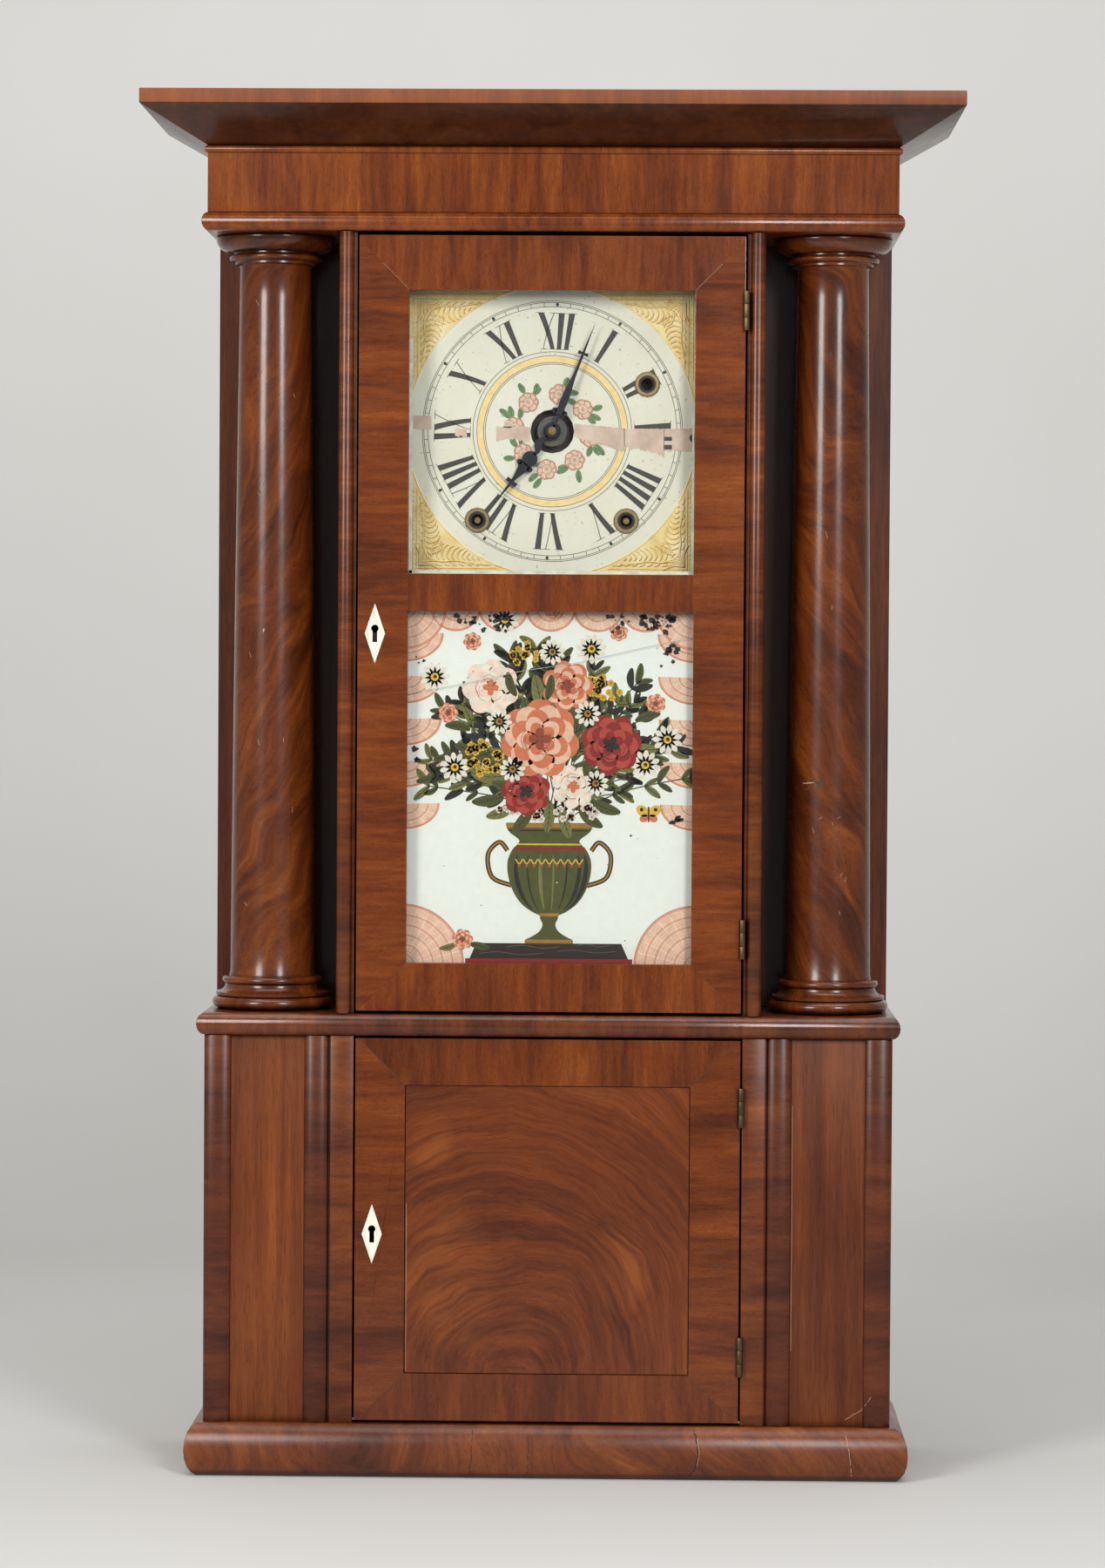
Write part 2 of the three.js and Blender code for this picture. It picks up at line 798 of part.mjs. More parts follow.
// The recess that takes a leaf, open at the front for its knuckles.
function hingeMortise(side, z0) {
  return leafSlice(side, hingeY, leafY + leafWidth, z0, z0 + hingeLength);
}

function hingeLeaf(side, z0) {
  return leafSlice(side, leafY, leafY + leafWidth, z0, z0 + hingeLength);
}

function hingeTab(side, z0, z1) {
  return leafSlice(side, hingeY + tabInKnuckle, leafY + leafBehindKnuckle, z0, z1);
}

function fixedHingeLeaf(z0) {
  const spans = [[z0, z0 + knuckleEndLength], [z0 + hingeLength - knuckleEndLength, z0 + hingeLength]];
  const knuckles = spans.map(([a, b]) => rodZ(knuckleRadius, hingeX, hingeY, a, b, 8));
  const tabs = spans.map(([a, b]) => hingeTab(1, a, b));
  const pin = rodZ(hingePinRadius, hingeX, hingeY, z0 + pinEndInset, z0 + hingeLength - pinEndInset, 6);
  return join(hingeLeaf(1, z0), ...tabs, ...knuckles, pin);
}

function movingHingeLeaf(z0) {
  const low = z0 + knuckleEndLength + hingeRunGap;
  const high = z0 + hingeLength - knuckleEndLength - hingeRunGap;
  const knuckle = rodZ(knuckleRadius, hingeX, hingeY, low, high, 8);
  const bore = rodZ(hingePinRadius + hingeBoreClearance, hingeX, hingeY, low - cutOvershoot,
    high + cutOvershoot, 8);
  return cut(join(hingeLeaf(-1, z0), hingeTab(-1, low, high), knuckle), bore);
}

const hingeHeights = {
  upper_hinge_bottom: upperDoorZ + upperHingeInset,
  upper_hinge_top: upperDoorTop - upperHingeInset - hingeLength,
  lower_hinge_bottom: lowerDoorZ + lowerHingeInset,
  lower_hinge_top: lowerDoorTop - lowerHingeInset - hingeLength,
};

function keyhole(x, z) {
  const radius = keyholeWidth / 2;
  const top = z + keyholeHeight / 2 - radius;
  const half = keyholeSlot / 2;
  const drop = Math.sqrt(radius * radius - half * half);
  const start = THREE.MathUtils.radToDeg(Math.atan2(-drop, half));
  return [
    [x - half, z - keyholeHeight / 2],
    [x + half, z - keyholeHeight / 2],
    ...arcPoints(x, top, radius, radius, start, 180 - start, 8),
  ];
}

function diamond(x, z) {
  const halfWide = escutcheonWidth / 2;
  const halfTall = escutcheonHeight / 2;
  return outline([[x, z - halfTall], [x + halfWide, z], [x, z + halfTall], [x - halfWide, z]]);
}

function escutcheonPlate(x, z) {
  const shape = diamond(x, z);
  shape.holes.push(new THREE.Path(keyhole(x, z).map(([a, b]) => new THREE.Vector2(a, b))));
  return frontPlateOf(shape, frontY, frontY + escutcheonThickness);
}

const escutcheonX = -doorHalfWidth + escutcheonInset;
const upperEscutcheonZ = upperDoorZ + upperEscutcheonRise;
const lowerEscutcheonZ = lowerDoorZ + lowerEscutcheonRise;

// ---------------------------------------------------------------- doors

// A framed door with rabbeted openings, cut for its key plate and for its hinge leaves.
function doorFrame(z0, z1, openings, plateZ, hinges) {
  const front = rectangle(-doorHalfWidth, doorHalfWidth, z0, z1);
  const back = rectangle(-doorHalfWidth, doorHalfWidth, z0, z1);
  for (const [low, high] of openings) {
    front.holes.push(rectangle(-openingHalfWidth, openingHalfWidth, low, high));
    const wide = openingHalfWidth + rabbetWidth;
    back.holes.push(rectangle(-wide, wide, low - rabbetWidth, high + rabbetWidth));
  }
  const frame = join(frontPlateOf(front, frontY, glassY), frontPlateOf(back, glassY, doorBackY));
  const cutFront = frontY - cutOvershoot;
  const plateSeat = frontPlateOf(diamond(escutcheonX, plateZ), cutFront, frontY + escutcheonThickness);
  const lockHole = frontPlateOf(outline(keyhole(escutcheonX, plateZ)), cutFront,
    doorBackY + cutOvershoot);
  return cut(frame, plateSeat, lockHole, ...hinges.map((z) => hingeMortise(-1, z)));
}

function pane(z0, z1) {
  const reach = rabbetWidth - glassEdgeGap;
  const wide = openingHalfWidth + reach;
  return box(-wide, wide, glassY, glassY + glassThickness, z0 - reach, z1 + reach);
}

function buildLowerPanel() {
  const edge = openingHalfWidth - glassEdgeGap;
  const field = box(-edge, edge, frontY + panelSinkDepth, glassY + joinOverlap, panelZ + glassEdgeGap,
    panelTop - glassEdgeGap);
  const reach = rabbetWidth - glassEdgeGap;
  const wide = openingHalfWidth + reach;
  const flange = box(-wide, wide, glassY, glassY + panelFlangeThickness, panelZ - reach, panelTop + reach);
  return join(field, flange);
}

// ---------------------------------------------------------------- dial and hands

const windingHoles = {
  time_grommet: [windingOffset, drumZ],
  strike_grommet: [-windingOffset, drumZ],
  alarm_grommet: [alarmOffset, dialZ + alarmRise],
};

function buildDial() {
  const shape = rectangle(-dialWidth / 2, dialWidth / 2, dialZ - dialHeight / 2, dialZ + dialHeight / 2);
  shape.holes.push(circleHole(0, dialZ, dialHoleRadius));
  for (const [x, z] of Object.values(windingHoles)) {
    shape.holes.push(circleHole(x, z, grommetTubeRadius + runningGap));
  }
  return frontPlateOf(shape, dialY, dialBackY, 8);
}

function grommet(x, z) {
  const face = dialY - grommetFlangeThickness;
  const profile = [
    [grommetBoreRadius, dialBackY],
    [grommetBoreRadius, face + grommetBoreBevel],
    [grommetBoreRadius + grommetBoreBevel, face],
    [grommetFlangeRadius - grommetRimBevel, face],
    [grommetFlangeRadius, face + grommetRimBevel],
    [grommetFlangeRadius, dialY],
    [grommetTubeRadius, dialY],
    [grommetTubeRadius, dialBackY],
    [grommetBoreRadius, dialBackY],
  ];
  return turnedAlongY(profile, x, z, 14);
}

// A hand drawn pointing up from the dial's centre, then turned clockwise.
function handBlade(length, crossAt, crossHalf, lobeAt, widest) {
  return [
    [1.2, 0],
    [1, lobeAt - 3.4],
    [4.6, lobeAt - 2.6],
    [5.2, lobeAt + 0.4],
    [2.9, lobeAt + 2.4],
    [widest, lobeAt + 8],
    [widest * 0.55, crossAt - 1],
    [crossHalf, crossAt - 0.9],
    [crossHalf, crossAt + 0.9],
    [widest * 0.5, crossAt + 1],
    [0.25, length],
  ];
}

function handShape(blade) {
  const left = blade.map(([x, z]) => [-x, z]).reverse();
  return outline([...blade, ...left]);
}

function placedHand(geometry, angle) {
  geometry.rotateY(THREE.MathUtils.degToRad(angle));
  geometry.translate(0, 0, dialZ);
  return closedGeometry(geometry);
}

function buildMinuteHand() {
  const y = dialY - minuteHandAheadOfDial;
  const blade = handBlade(minuteHandLength, minuteCrossAt, minuteCrossHalf, minuteLobeAt, minuteWidest);
  const hub = rodY(handHubRadius, 0, 0, y - handThickness, y, 16);
  const bore = rodY(centreArborRadius + joineryGap, 0, 0, y - 3, y + 3, 12);
  const hand = cut(join(frontPlateOf(handShape(blade), y - handThickness, y), hub), bore);
  return placedHand(hand, minuteHandAngle);
}

const hourPipeRadius = 4.4;
const hourPipeBore = 2.6;

function buildHourHand() {
  const y = dialY - hourHandAheadOfDial;
  const blade = handBlade(hourHandLength, hourCrossAt, hourCrossHalf, hourLobeAt, hourWidest);
  const hub = rodY(handHubRadius + hourHubExtra, 0, 0, y - handThickness, y, 16);
  const disc = rodY(hourDiscRadius, 0, hourDiscAt, y - handThickness, y, 14);
  const bore = rodY(hourPipeRadius + joineryGap, 0, 0, y - 3, y + 3, 12);
  const hand = cut(join(frontPlateOf(handShape(blade), y - handThickness, y), hub, disc), bore);
  return placedHand(hand, hourHandAngle);
}

// ---------------------------------------------------------------- movement

// A wheel's outline with plain trapezoid teeth, thinned so that it runs with play.
function toothedOutline(teeth, size, phase) {
  const pitchRadius = (teeth * size) / 2;
  const tip = pitchRadius + toothTipShare * size;
  const root = pitchRadius - toothRootShare * size;
  const pitch = (2 * Math.PI) / teeth;
  const rootHalf = pitch * toothRootWidthShare;
  const tipHalf = pitch * toothTipWidthShare;
  const points = [];
  for (let i = 0; i < teeth; i += 1) {
    const middle = phase + i * pitch;
    for (const [radius, offset] of [[root, -rootHalf], [tip, -tipHalf], [tip, tipHalf], [root, rootHalf]]) {
      const angle = middle + offset;
      points.push([radius * Math.sin(angle), radius * Math.cos(angle)]);
    }
  }
  return points.reverse();
}

function wheelDisc(teeth, size, phase, place, y0, y1, boreRadius) {
  const shape = outline(toothedOutline(teeth, size, phase));
  if (boreRadius) {
    shape.holes.push(circleHole(0, 0, boreRadius));
  }
  const disc = frontPlateOf(shape, y0, y1, 6);
  disc.translate(place[0], 0, place[1]);
  return disc;
}

// Places of the arbors, seen from the front. A bent pair of centre distances gives each one.
function thirdCorner(from, to, distanceFrom, distanceTo, side) {
  const dx = to[0] - from[0];
  const dz = to[1] - from[1];
  const gap = Math.hypot(dx, dz);
  const along = (distanceFrom ** 2 - distanceTo ** 2 + gap ** 2) / (2 * gap);
  const off = side * Math.sqrt(distanceFrom ** 2 - along ** 2);
  return [from[0] + (along * dx - off * dz) / gap, from[1] + (along * dz + off * dx) / gap];
}

const centrePlace = [0, dialZ];
const greatPlace = [windingOffset, drumZ];
const strikePlace = [-windingOffset, drumZ];
const escapePlace = [0, pivotZ - escapeBelowPivot];
const hammerPlace = [-hammerOffset, dialZ - hammerBelowDialCentre];
const greatToSecond = ((greatTeeth + secondPinionLeaves) * greatModule) / 2;
const secondToCentre = ((secondTeeth + centrePinionLeaves) * secondModule) / 2;
const centreToThird = ((centreTeeth + thirdPinionLeaves) * centreModule) / 2;
const thirdToEscape = ((thirdTeeth + escapePinionLeaves) * thirdModule) / 2;
const secondPlace = thirdCorner(greatPlace, centrePlace, greatToSecond, secondToCentre, -1);
const thirdPlace = thirdCorner(centrePlace, escapePlace, centreToThird, thirdToEscape, 1);
const motionAngle = THREE.MathUtils.degToRad(225);
const minutePlace = [
  motionCentreDistance * Math.sin(motionAngle),
  dialZ + motionCentreDistance * Math.cos(motionAngle),
];

// The phase that sets a gap of the driven wheel on the line to its driver, whose tooth is there.
function bearing(from, to) {
  return Math.atan2(to[0] - from[0], to[1] - from[1]);
}

function meshPhase(drivenTeeth, driven, driver, driverTeeth, driverPhase) {
  const toDriven = bearing(driver, driven);
  const driverPitch = (2 * Math.PI) / driverTeeth;
  const share = ((toDriven - driverPhase) / driverPitch) % 1;
  const toDriver = bearing(driven, driver);
  const drivenPitch = (2 * Math.PI) / drivenTeeth;
  return toDriver + drivenPitch * (share + 0.5);
}

const greatPhase = 0;
const secondPinionPhase = meshPhase(secondPinionLeaves, secondPlace, greatPlace, greatTeeth, greatPhase);
const secondPhase = 0;
const centrePinionPhase = meshPhase(centrePinionLeaves, centrePlace, secondPlace, secondTeeth, secondPhase);
const centrePhase = 0;
const thirdPinionPhase = meshPhase(thirdPinionLeaves, thirdPlace, centrePlace, centreTeeth, centrePhase);
const thirdPhase = 0;
const escapePinionPhase = meshPhase(escapePinionLeaves, escapePlace, thirdPlace, thirdTeeth, thirdPhase);
const cannonPhase = 0;
const minuteWheelPhase = meshPhase(minuteWheelTeeth, minutePlace, centrePlace, cannonLeaves, cannonPhase);
const minutePinionPhase = 0;
const hourWheelPhase = meshPhase(hourWheelTeeth, centrePlace, minutePlace, minutePinionLeaves,
  minutePinionPhase);

// Wheel planes, from the front plate back
const greatY = trainY + greatWheelBehindPlate;
const secondY = greatY + greatToSecondPlane;
const centreY = secondY + wheelPlaneStep;
const thirdY = centreY + wheelPlaneStep;
const escapeY = thirdY + wheelPlaneStep;
const pinionOverlap = (pinionThickness - wheelThickness) / 2;
const pivotLength = plateThickness - pillarLap;

function arborBetweenPlates(place, radius) {
  return rodY(radius, place[0], place[1], trainY - pivotLength, backPlateY + pivotLength, 10);
}

function pinion(leaves, size, phase, place, wheelY) {
  return wheelDisc(leaves, size, phase, place, wheelY - pinionOverlap,
    wheelY + wheelThickness + pinionOverlap);
}

function trainArbor(wheel, leaf, place) {
  return join(arborBetweenPlates(place, arborRadius), wheel, leaf);
}

function buildGreatWheel() {
  return wheelDisc(greatTeeth, greatModule, greatPhase, greatPlace, greatY, greatY + wheelThickness,
    drumArborRadius + runningGap);
}

function buildSecondWheel() {
  const wheel = wheelDisc(secondTeeth, secondModule, secondPhase, secondPlace, secondY,
    secondY + wheelThickness);
  const leaf = pinion(secondPinionLeaves, greatModule, secondPinionPhase, secondPlace, greatY);
  return trainArbor(wheel, leaf, secondPlace);
}

function buildCentreWheel() {
  const [x, z] = centrePlace;
  const wheel = wheelDisc(centreTeeth, centreModule, centrePhase, centrePlace, centreY,
    centreY + wheelThickness);
  const leaf = pinion(centrePinionLeaves, secondModule, centrePinionPhase, centrePlace, secondY);
  const cannonSize = (2 * motionCentreDistance) / (cannonLeaves + minuteWheelTeeth);
  const cannon = wheelDisc(cannonLeaves, cannonSize, cannonPhase, centrePlace, minuteWheelY - pinionOverlap,
    minuteWheelY + minuteWheelThickness + cannonBehindWheel);
  const tip = dialY - minuteHandAheadOfDial - handThickness - centreTipAheadOfHand;
  const arbor = rodY(centreArborRadius, x, z, tip, backPlateY + pivotLength, 12);
  const nutStart = tip + centreNutInset;
  const nut = rodY(centreNutRadius, x, z, nutStart, nutStart + centreNutThickness, 10);
  return join(arbor, nut, wheel, leaf, cannon);
}

function buildThirdWheel() {
  const wheel = wheelDisc(thirdTeeth, thirdModule, thirdPhase, thirdPlace, thirdY, thirdY + wheelThickness);
  const leaf = pinion(thirdPinionLeaves, centreModule, thirdPinionPhase, thirdPlace, centreY);
  return trainArbor(wheel, leaf, thirdPlace);
}

// Pointed, slightly hooked teeth.
function buildEscapeWheel() {
  const points = [];
  const pitch = (2 * Math.PI) / escapeTeeth;
  const root = escapeRadius - escapeToothDepth;
  for (let i = 0; i < escapeTeeth; i += 1) {
    for (const [radius, share] of [[root, -escapeHeelShare], [escapeRadius, escapeTipShare],
      [root, escapeFaceShare]]) {
      const angle = (i + share) * pitch;
      points.push([radius * Math.sin(angle), radius * Math.cos(angle)]);
    }
  }
  const wheel = frontPlateOf(outline(points.reverse()), escapeY, escapeY + escapeWheelThickness);
  wheel.translate(escapePlace[0], 0, escapePlace[1]);
  const leaf = pinion(escapePinionLeaves, thirdModule, escapePinionPhase, escapePlace, thirdY);
  return trainArbor(wheel, leaf, escapePlace);
}

// Anchor over the escape wheel, its arbor and the crutch behind the back plate.
const palletAngle = THREE.MathUtils.degToRad(40.3);
const palletClearance = 2;
const palletOverhang = 0.6;

function buildVerge() {
  const nib = escapeRadius + palletClearance;
  const [nibX, nibZ] = [nib * Math.sin(palletAngle), escapePlace[1] + nib * Math.cos(palletAngle)];
  const anchor = outline([
    [-3, pivotZ - 2.4],
    [0, pivotZ - 3.4],
    [3, pivotZ - 2.4],
    [nibX + 0.2, nibZ],
    [nibX + 2.6, nibZ + 1.2],
    [nibX + 0.4, nibZ + 6.4],
    [3, pivotZ + 3.4],
    [-3, pivotZ + 3.4],
    [-nibX - 0.4, nibZ + 6.4],
    [-nibX - 2.6, nibZ + 1.2],
    [-nibX - 0.2, nibZ],
  ]);
  const crutchY = backPlateY + plateThickness + crutchBehindPlate;
  const pallets = frontPlateOf(anchor, escapeY - palletOverhang,
    escapeY + escapeWheelThickness + palletOverhang);
  const arbor = rodY(arborRadius, 0, pivotZ, trainY - pivotLength, crutchY + crutchThickness, 10);
  const hub = rodY(crutchHubRadius, 0, pivotZ, crutchY, crutchY + crutchThickness, 12);
  const reach = rodRadius + crutchSideGap;
  const low = pivotZ - crutchDrop;
  const outer = reach + crutchHalfWidth;
  const arm = box(-crutchHalfWidth, crutchHalfWidth, crutchY, crutchY + crutchThickness, low, pivotZ);
  const bridge = box(-outer, outer, crutchY, crutchY + crutchThickness, low - crutchBridge, low);
  const prongs = [-1, 1].map((side) => box(
    Math.min(side * reach, side * outer), Math.max(side * reach, side * outer),
    crutchY, pendulumY + crutchPastRod, low - crutchBridge, low,
  ));
  return join(pallets, arbor, hub, arm, bridge, ...prongs);
}

// ---------------------------------------------------------------- motion work

const minuteWheelThickness = 1.2;
const minuteWheelAheadOfPlate = 3.2;
const hourWheelAheadOfMinute = 3.4;
const colletRadius = 11;
const colletThickness = 1.2;
const colletBehindFace = 1.5;
const minuteWheelY = frontPlateY - minuteWheelAheadOfPlate;
const hourWheelY = minuteWheelY - hourWheelAheadOfMinute;

function buildMinuteWheel() {
  const wheelSize = (2 * motionCentreDistance) / (cannonLeaves + minuteWheelTeeth);
  const leafSize = (2 * motionCentreDistance) / (minutePinionLeaves + hourWheelTeeth);
  const wheel = wheelDisc(minuteWheelTeeth, wheelSize, minuteWheelPhase, minutePlace, minuteWheelY,
    minuteWheelY + minuteWheelThickness);
  const leaf = wheelDisc(minutePinionLeaves, leafSize, minutePinionPhase, minutePlace, hourWheelY - 0.4,
    minuteWheelY + 0.2);
  const stud = rodY(1.2, minutePlace[0], minutePlace[1], minuteWheelY, trainY - 0.4, 10);
  return join(wheel, leaf, stud);
}

function buildHourWheel() {
  const size = (2 * motionCentreDistance) / (minutePinionLeaves + hourWheelTeeth);
  const wheel = wheelDisc(hourWheelTeeth, size, hourWheelPhase, centrePlace, hourWheelY,
    hourWheelY + minuteWheelThickness);
  const front = dialY - hourHandAheadOfDial - handThickness - 0.8;
  const pipe = rodY(hourPipeRadius, 0, dialZ, front, hourWheelY + 1, 12);
  const collet = rodY(colletRadius, 0, dialZ, dialY + colletBehindFace,
    dialY + colletBehindFace + colletThickness, 14);
  const bore = rodY(hourPipeBore, 0, dialZ, front - 1, hourWheelY + 3, 12);
  return cut(join(wheel, pipe, collet), bore);
}

// ---------------------------------------------------------------- plates

const vergePlace = [0, pivotZ];
const plateCorner = 10;

function plateOutline() {
  const shape = new THREE.Shape();
  const [x, low, high, r] = [plateHalfWidth, plateBottom, plateTop, plateCorner];
  shape.moveTo(-x + r, low);
  shape.lineTo(x - r, low);
  shape.absarc(x - r, low + r, r, -Math.PI / 2, 0, false);
  shape.absarc(x - r, high - r, r, 0, Math.PI / 2, false);
  shape.absarc(-x + r, high - r, r, Math.PI / 2, Math.PI, false);
  shape.absarc(-x + r, low + r, r, Math.PI, 1.5 * Math.PI, false);
  return shape;
}

function plateWithHoles(holes, y0, y1) {
  const shape = plateOutline();
  for (const [place, radius] of holes) {
    shape.holes.push(circleHole(place[0], place[1], radius + runningGap));
  }
  return frontPlateOf(shape, y0, y1, 5);
}

const sharedHoles = [
  [greatPlace, drumArborRadius],
  [strikePlace, drumArborRadius],
  [secondPlace, arborRadius],
  [thirdPlace, arborRadius],
  [escapePlace, arborRadius],
  [vergePlace, arborRadius],
  [hammerPlace, arborRadius],
];

function buildFrontPlate() {
  const holes = [...sharedHoles, [centrePlace, centreArborRadius], [minutePlace, 1.2]];
  return plateWithHoles(holes, frontPlateY, frontPlateY + plateThickness);
}

// The back plate carries the pillars, the feet on the backboard and the suspension cock.
function buildBackPlate() {
  const back = backPlateY + plateThickness;
  const plate = plateWithHoles([...sharedHoles, [centrePlace, centreArborRadius]], backPlateY, back);
  const topZ = plateTop - plateCorner;
  const footX = plateHalfWidth - plateCorner;
  const lowZ = plateBottom + plateCorner;
  const pillarPlaces = [[-footX, topZ], [footX, topZ], [-footX, lowZ], [0, lowZ]];
  const pillars = pillarPlaces.map(([x, z]) => rodY(pillarRadius, x, z, trainY, backPlateY + 1, 10));
  const footPlaces = [[-footX, topZ], [footX, topZ], [-footX, lowZ], [footX, lowZ]];
  const feet = footPlaces.map(([x, z]) => rodY(pillarRadius + footExtra, x, z, back - 1, backboardY, 10));
  const cock = box(-cockHalfWidth, cockHalfWidth, back - joinOverlap, pendulumY + cockPastPendulum,
    pivotZ + cockLow, pivotZ + cockHigh);
  const slit = box(-slitHalfWidth, slitHalfWidth, pendulumY - slitHalfDepth, pendulumY + slitHalfDepth,
    pivotZ + slitLow, pivotZ + slitHigh);
  return join(cut(cock, slit), plate, ...pillars, ...feet);
}

// ---------------------------------------------------------------- drums, cords, pulleys, weights

function buildDrum(x) {
  const core = cordDrumY - drumLength / 2;
  const start = dialBackY - windingSquareIn;
  const r = drumArborRadius;
  const profile = [
    [0, start],
    [r, start],
    [r, core],
    [drumFlangeRadius, core],
    [drumFlangeRadius, core + drumFlangeThickness],
    [drumCoreRadius, core + drumFlangeThickness],
    [drumCoreRadius, core + drumLength - drumFlangeThickness],
    [drumFlangeRadius, core + drumLength - drumFlangeThickness],
    [drumFlangeRadius, core + drumLength],
    [r, core + drumLength],
    [r, backPlateY + pivotLength],
    [0, backPlateY + pivotLength],
  ];
  return turnedAlongY(profile, x, drumZ, 14);
}

function buildPulley(sign) {
  const half = pulleyThickness / 2;
  const groove = pulleyGrooveRadius;
  const axle = pulleyAxleLength / 2;
  const profile = [
    [0, -axle],
    [pulleyAxleRadius, -axle],
    [pulleyAxleRadius, -half],
    [pulleyRimRadius, -half],
    [groove, -pulleyGrooveHalf],
    [groove, pulleyGrooveHalf],
    [pulleyRimRadius, half],
    [pulleyAxleRadius, half],
    [pulleyAxleRadius, axle],
    [0, axle],
  ];
  const layout = pulleyLayout(sign);
  const pulley = turnedAlongY(profile, 0, layout.centre.z, 20);
  return turnedPlace(pulley, layout);
}

const weightBottom = lowerZ + boardThickness + runningGap;
const weightTop = weightBottom + weightLength;

function buildWeight(x) {
  const profile = [
    [0, 0],
    [weightRadius - 2, 0],
    [weightRadius, 2],
    [weightRadius, weightLength - 4],
    [weightRadius - 4, weightLength],
    [4, weightLength],
    [2.5, weightLength + 3],
    [2.5, weightLength + hookLength],
    [0, weightLength + hookLength],
  ];
  const weight = turned(profile, 20);
  weight.translate(x, weightY, weightBottom);
  return weight;
}

// From the drum up to the pulley, over it and down to the weight, in one upright plane.
function buildCord(sign) {
  const { drumPoint, along, centre, weightPoint } = pulleyLayout(sign);
  const reach = Math.hypot(centre.x - drumPoint.x, centre.y - drumPoint.y);
  const rise = centre.z - drumPoint.z;
  const distance = Math.hypot(reach, rise);
  const toCentre = Math.atan2(rise, reach);
  const lean = toCentre + Math.asin(pulleyReach / distance);
  const run = Math.sqrt(distance ** 2 - pulleyReach ** 2);
  const inPlane = (a, z) => drumPoint.clone().addScaledVector(along, a).setZ(drumPoint.z + z);
  const points = [];
  const straightSteps = 5;
  for (let i = 0; i < straightSteps; i += 1) {
    const share = (i / straightSteps) * run;
    points.push(inPlane(share * Math.cos(lean), share * Math.sin(lean)));
  }
  const arcSteps = 14;
  const startAngle = lean + Math.PI / 2;
  for (let i = 0; i <= arcSteps; i += 1) {
    const angle = startAngle - (startAngle * i) / arcSteps;
    points.push(inPlane(reach + pulleyReach * Math.cos(angle), rise + pulleyReach * Math.sin(angle)));
  }
  const end = weightTop + hookLength + runningGap;
  for (let i = 1; i <= straightSteps; i += 1) {
    const z = centre.z - ((centre.z - end) * i) / straightSteps;
    points.push(new THREE.Vector3(weightPoint.x, weightPoint.y, z));
  }
  return wire(points, cordRadius, 6);
}

// ---------------------------------------------------------------- pendulum

function buildPendulumRod() {
  const bobZ = pivotZ - pendulumLength;
  const stripLow = pivotZ - stripLength;
  const strip = box(-suspensionThickness / 2, suspensionThickness / 2, pendulumY - suspensionWidth / 2,
    pendulumY + suspensionWidth / 2, stripLow, pivotZ + stripAbovePivot);
  const clamp = box(-2, 2, pendulumY - 4, pendulumY + 4, stripLow - 4, stripLow + 3);
  const rod = rodZ(rodRadius, 0, pendulumY, bobZ - bobRadius - rodBelowBob, stripLow - 2, 10);
  const nutTop = bobZ - bobRadius - runningGap;
  const nut = rodZ(ratingNutRadius, 0, pendulumY, nutTop - ratingNutHeight, nutTop, 8);
  return join(strip, clamp, rod, nut);
}

function buildBob() {
  const bobZ = pivotZ - pendulumLength;
  const half = bobThickness / 2;
  const profile = [
    [0, pendulumY - half],
    [bobRadius * 0.5, pendulumY - half * 0.88],
    [bobRadius * 0.85, pendulumY - half * 0.5],
    [bobRadius, pendulumY - 1],
    [bobRadius, pendulumY + 1],
    [bobRadius * 0.85, pendulumY + half * 0.5],
    [bobRadius * 0.5, pendulumY + half * 0.88],
    [0, pendulumY + half],
  ];
  const lens = turnedAlongY(profile, 0, bobZ, 24);
  const bore = rodZ(rodRadius + runningGap, 0, pendulumY, bobZ - bobRadius - 2, bobZ + bobRadius + 2, 10);
  return cut(lens, bore);
}

// ---------------------------------------------------------------- striking

const hammerY = backboardY - gongAheadOfBack - 1;
const gongZ = hammerPlace[1] - hammerArmLength;

function buildHammer() {
  const [x, z] = hammerPlace;
  const arbor = rodY(arborRadius, x, z, trainY - pivotLength, hammerY + 1.5, 10);
  const arm = box(x - 1.5, x + 1.5, hammerY - 1.5, hammerY + 1.5, gongZ, z);
  const headEnd = -gongRadius - gongWireRadius - 0.6;
  const head = rodX(hammerHeadRadius, hammerY, gongZ, headEnd - hammerHeadLength, headEnd, 12);
  return join(arbor, arm, head);
}

// A flat spiral of round wire whose inner end lies against the post.
function buildGong() {
  const inner = gongPostRadius + gongWireRadius + runningGap;
  const steps = gongTurns * 16;
  const points = [];
  for (let i = 0; i <= steps; i += 1) {
    const angle = Math.PI + (2 * Math.PI * gongTurns * (i - steps)) / steps;
    const radius = inner + ((gongRadius - inner) * i) / steps;
    const [x, z] = [radius * Math.cos(angle), gongZ + radius * Math.sin(angle)];
    points.push(new THREE.Vector3(x, backboardY - gongAheadOfBack, z));
  }
  return wire(points, gongWireRadius, 6);
}

function buildGongBase() {
  return rodY(gongPostRadius, 0, gongZ, backboardY - gongPostLength, backboardY, 16);
}

// ---------------------------------------------------------------- assembly

const lowerFlank = planBoard(lowerFlankPlan(), lowerZ, shelfZ);
const lowerMortises = [hingeHeights.lower_hinge_bottom, hingeHeights.lower_hinge_top];
const upperMortises = [hingeHeights.upper_hinge_bottom, hingeHeights.upper_hinge_top];
addPiece('base_moulding', buildBase(), 'mahogany');
addPiece('bottom_board', box(-sideInnerX, sideInnerX, doorBackY + bottomBoardBehindDoor, backboardY, lowerZ,
  lowerZ + boardThickness), 'pine');
addPiece('lower_left_flank', mirrored(lowerFlank), 'mahogany');
addPiece('lower_right_flank', cut(lowerFlank, ...lowerMortises.map((z) => hingeMortise(1, z))), 'mahogany');
addPiece('middle_shelf', buildMiddleShelf(), 'mahogany');

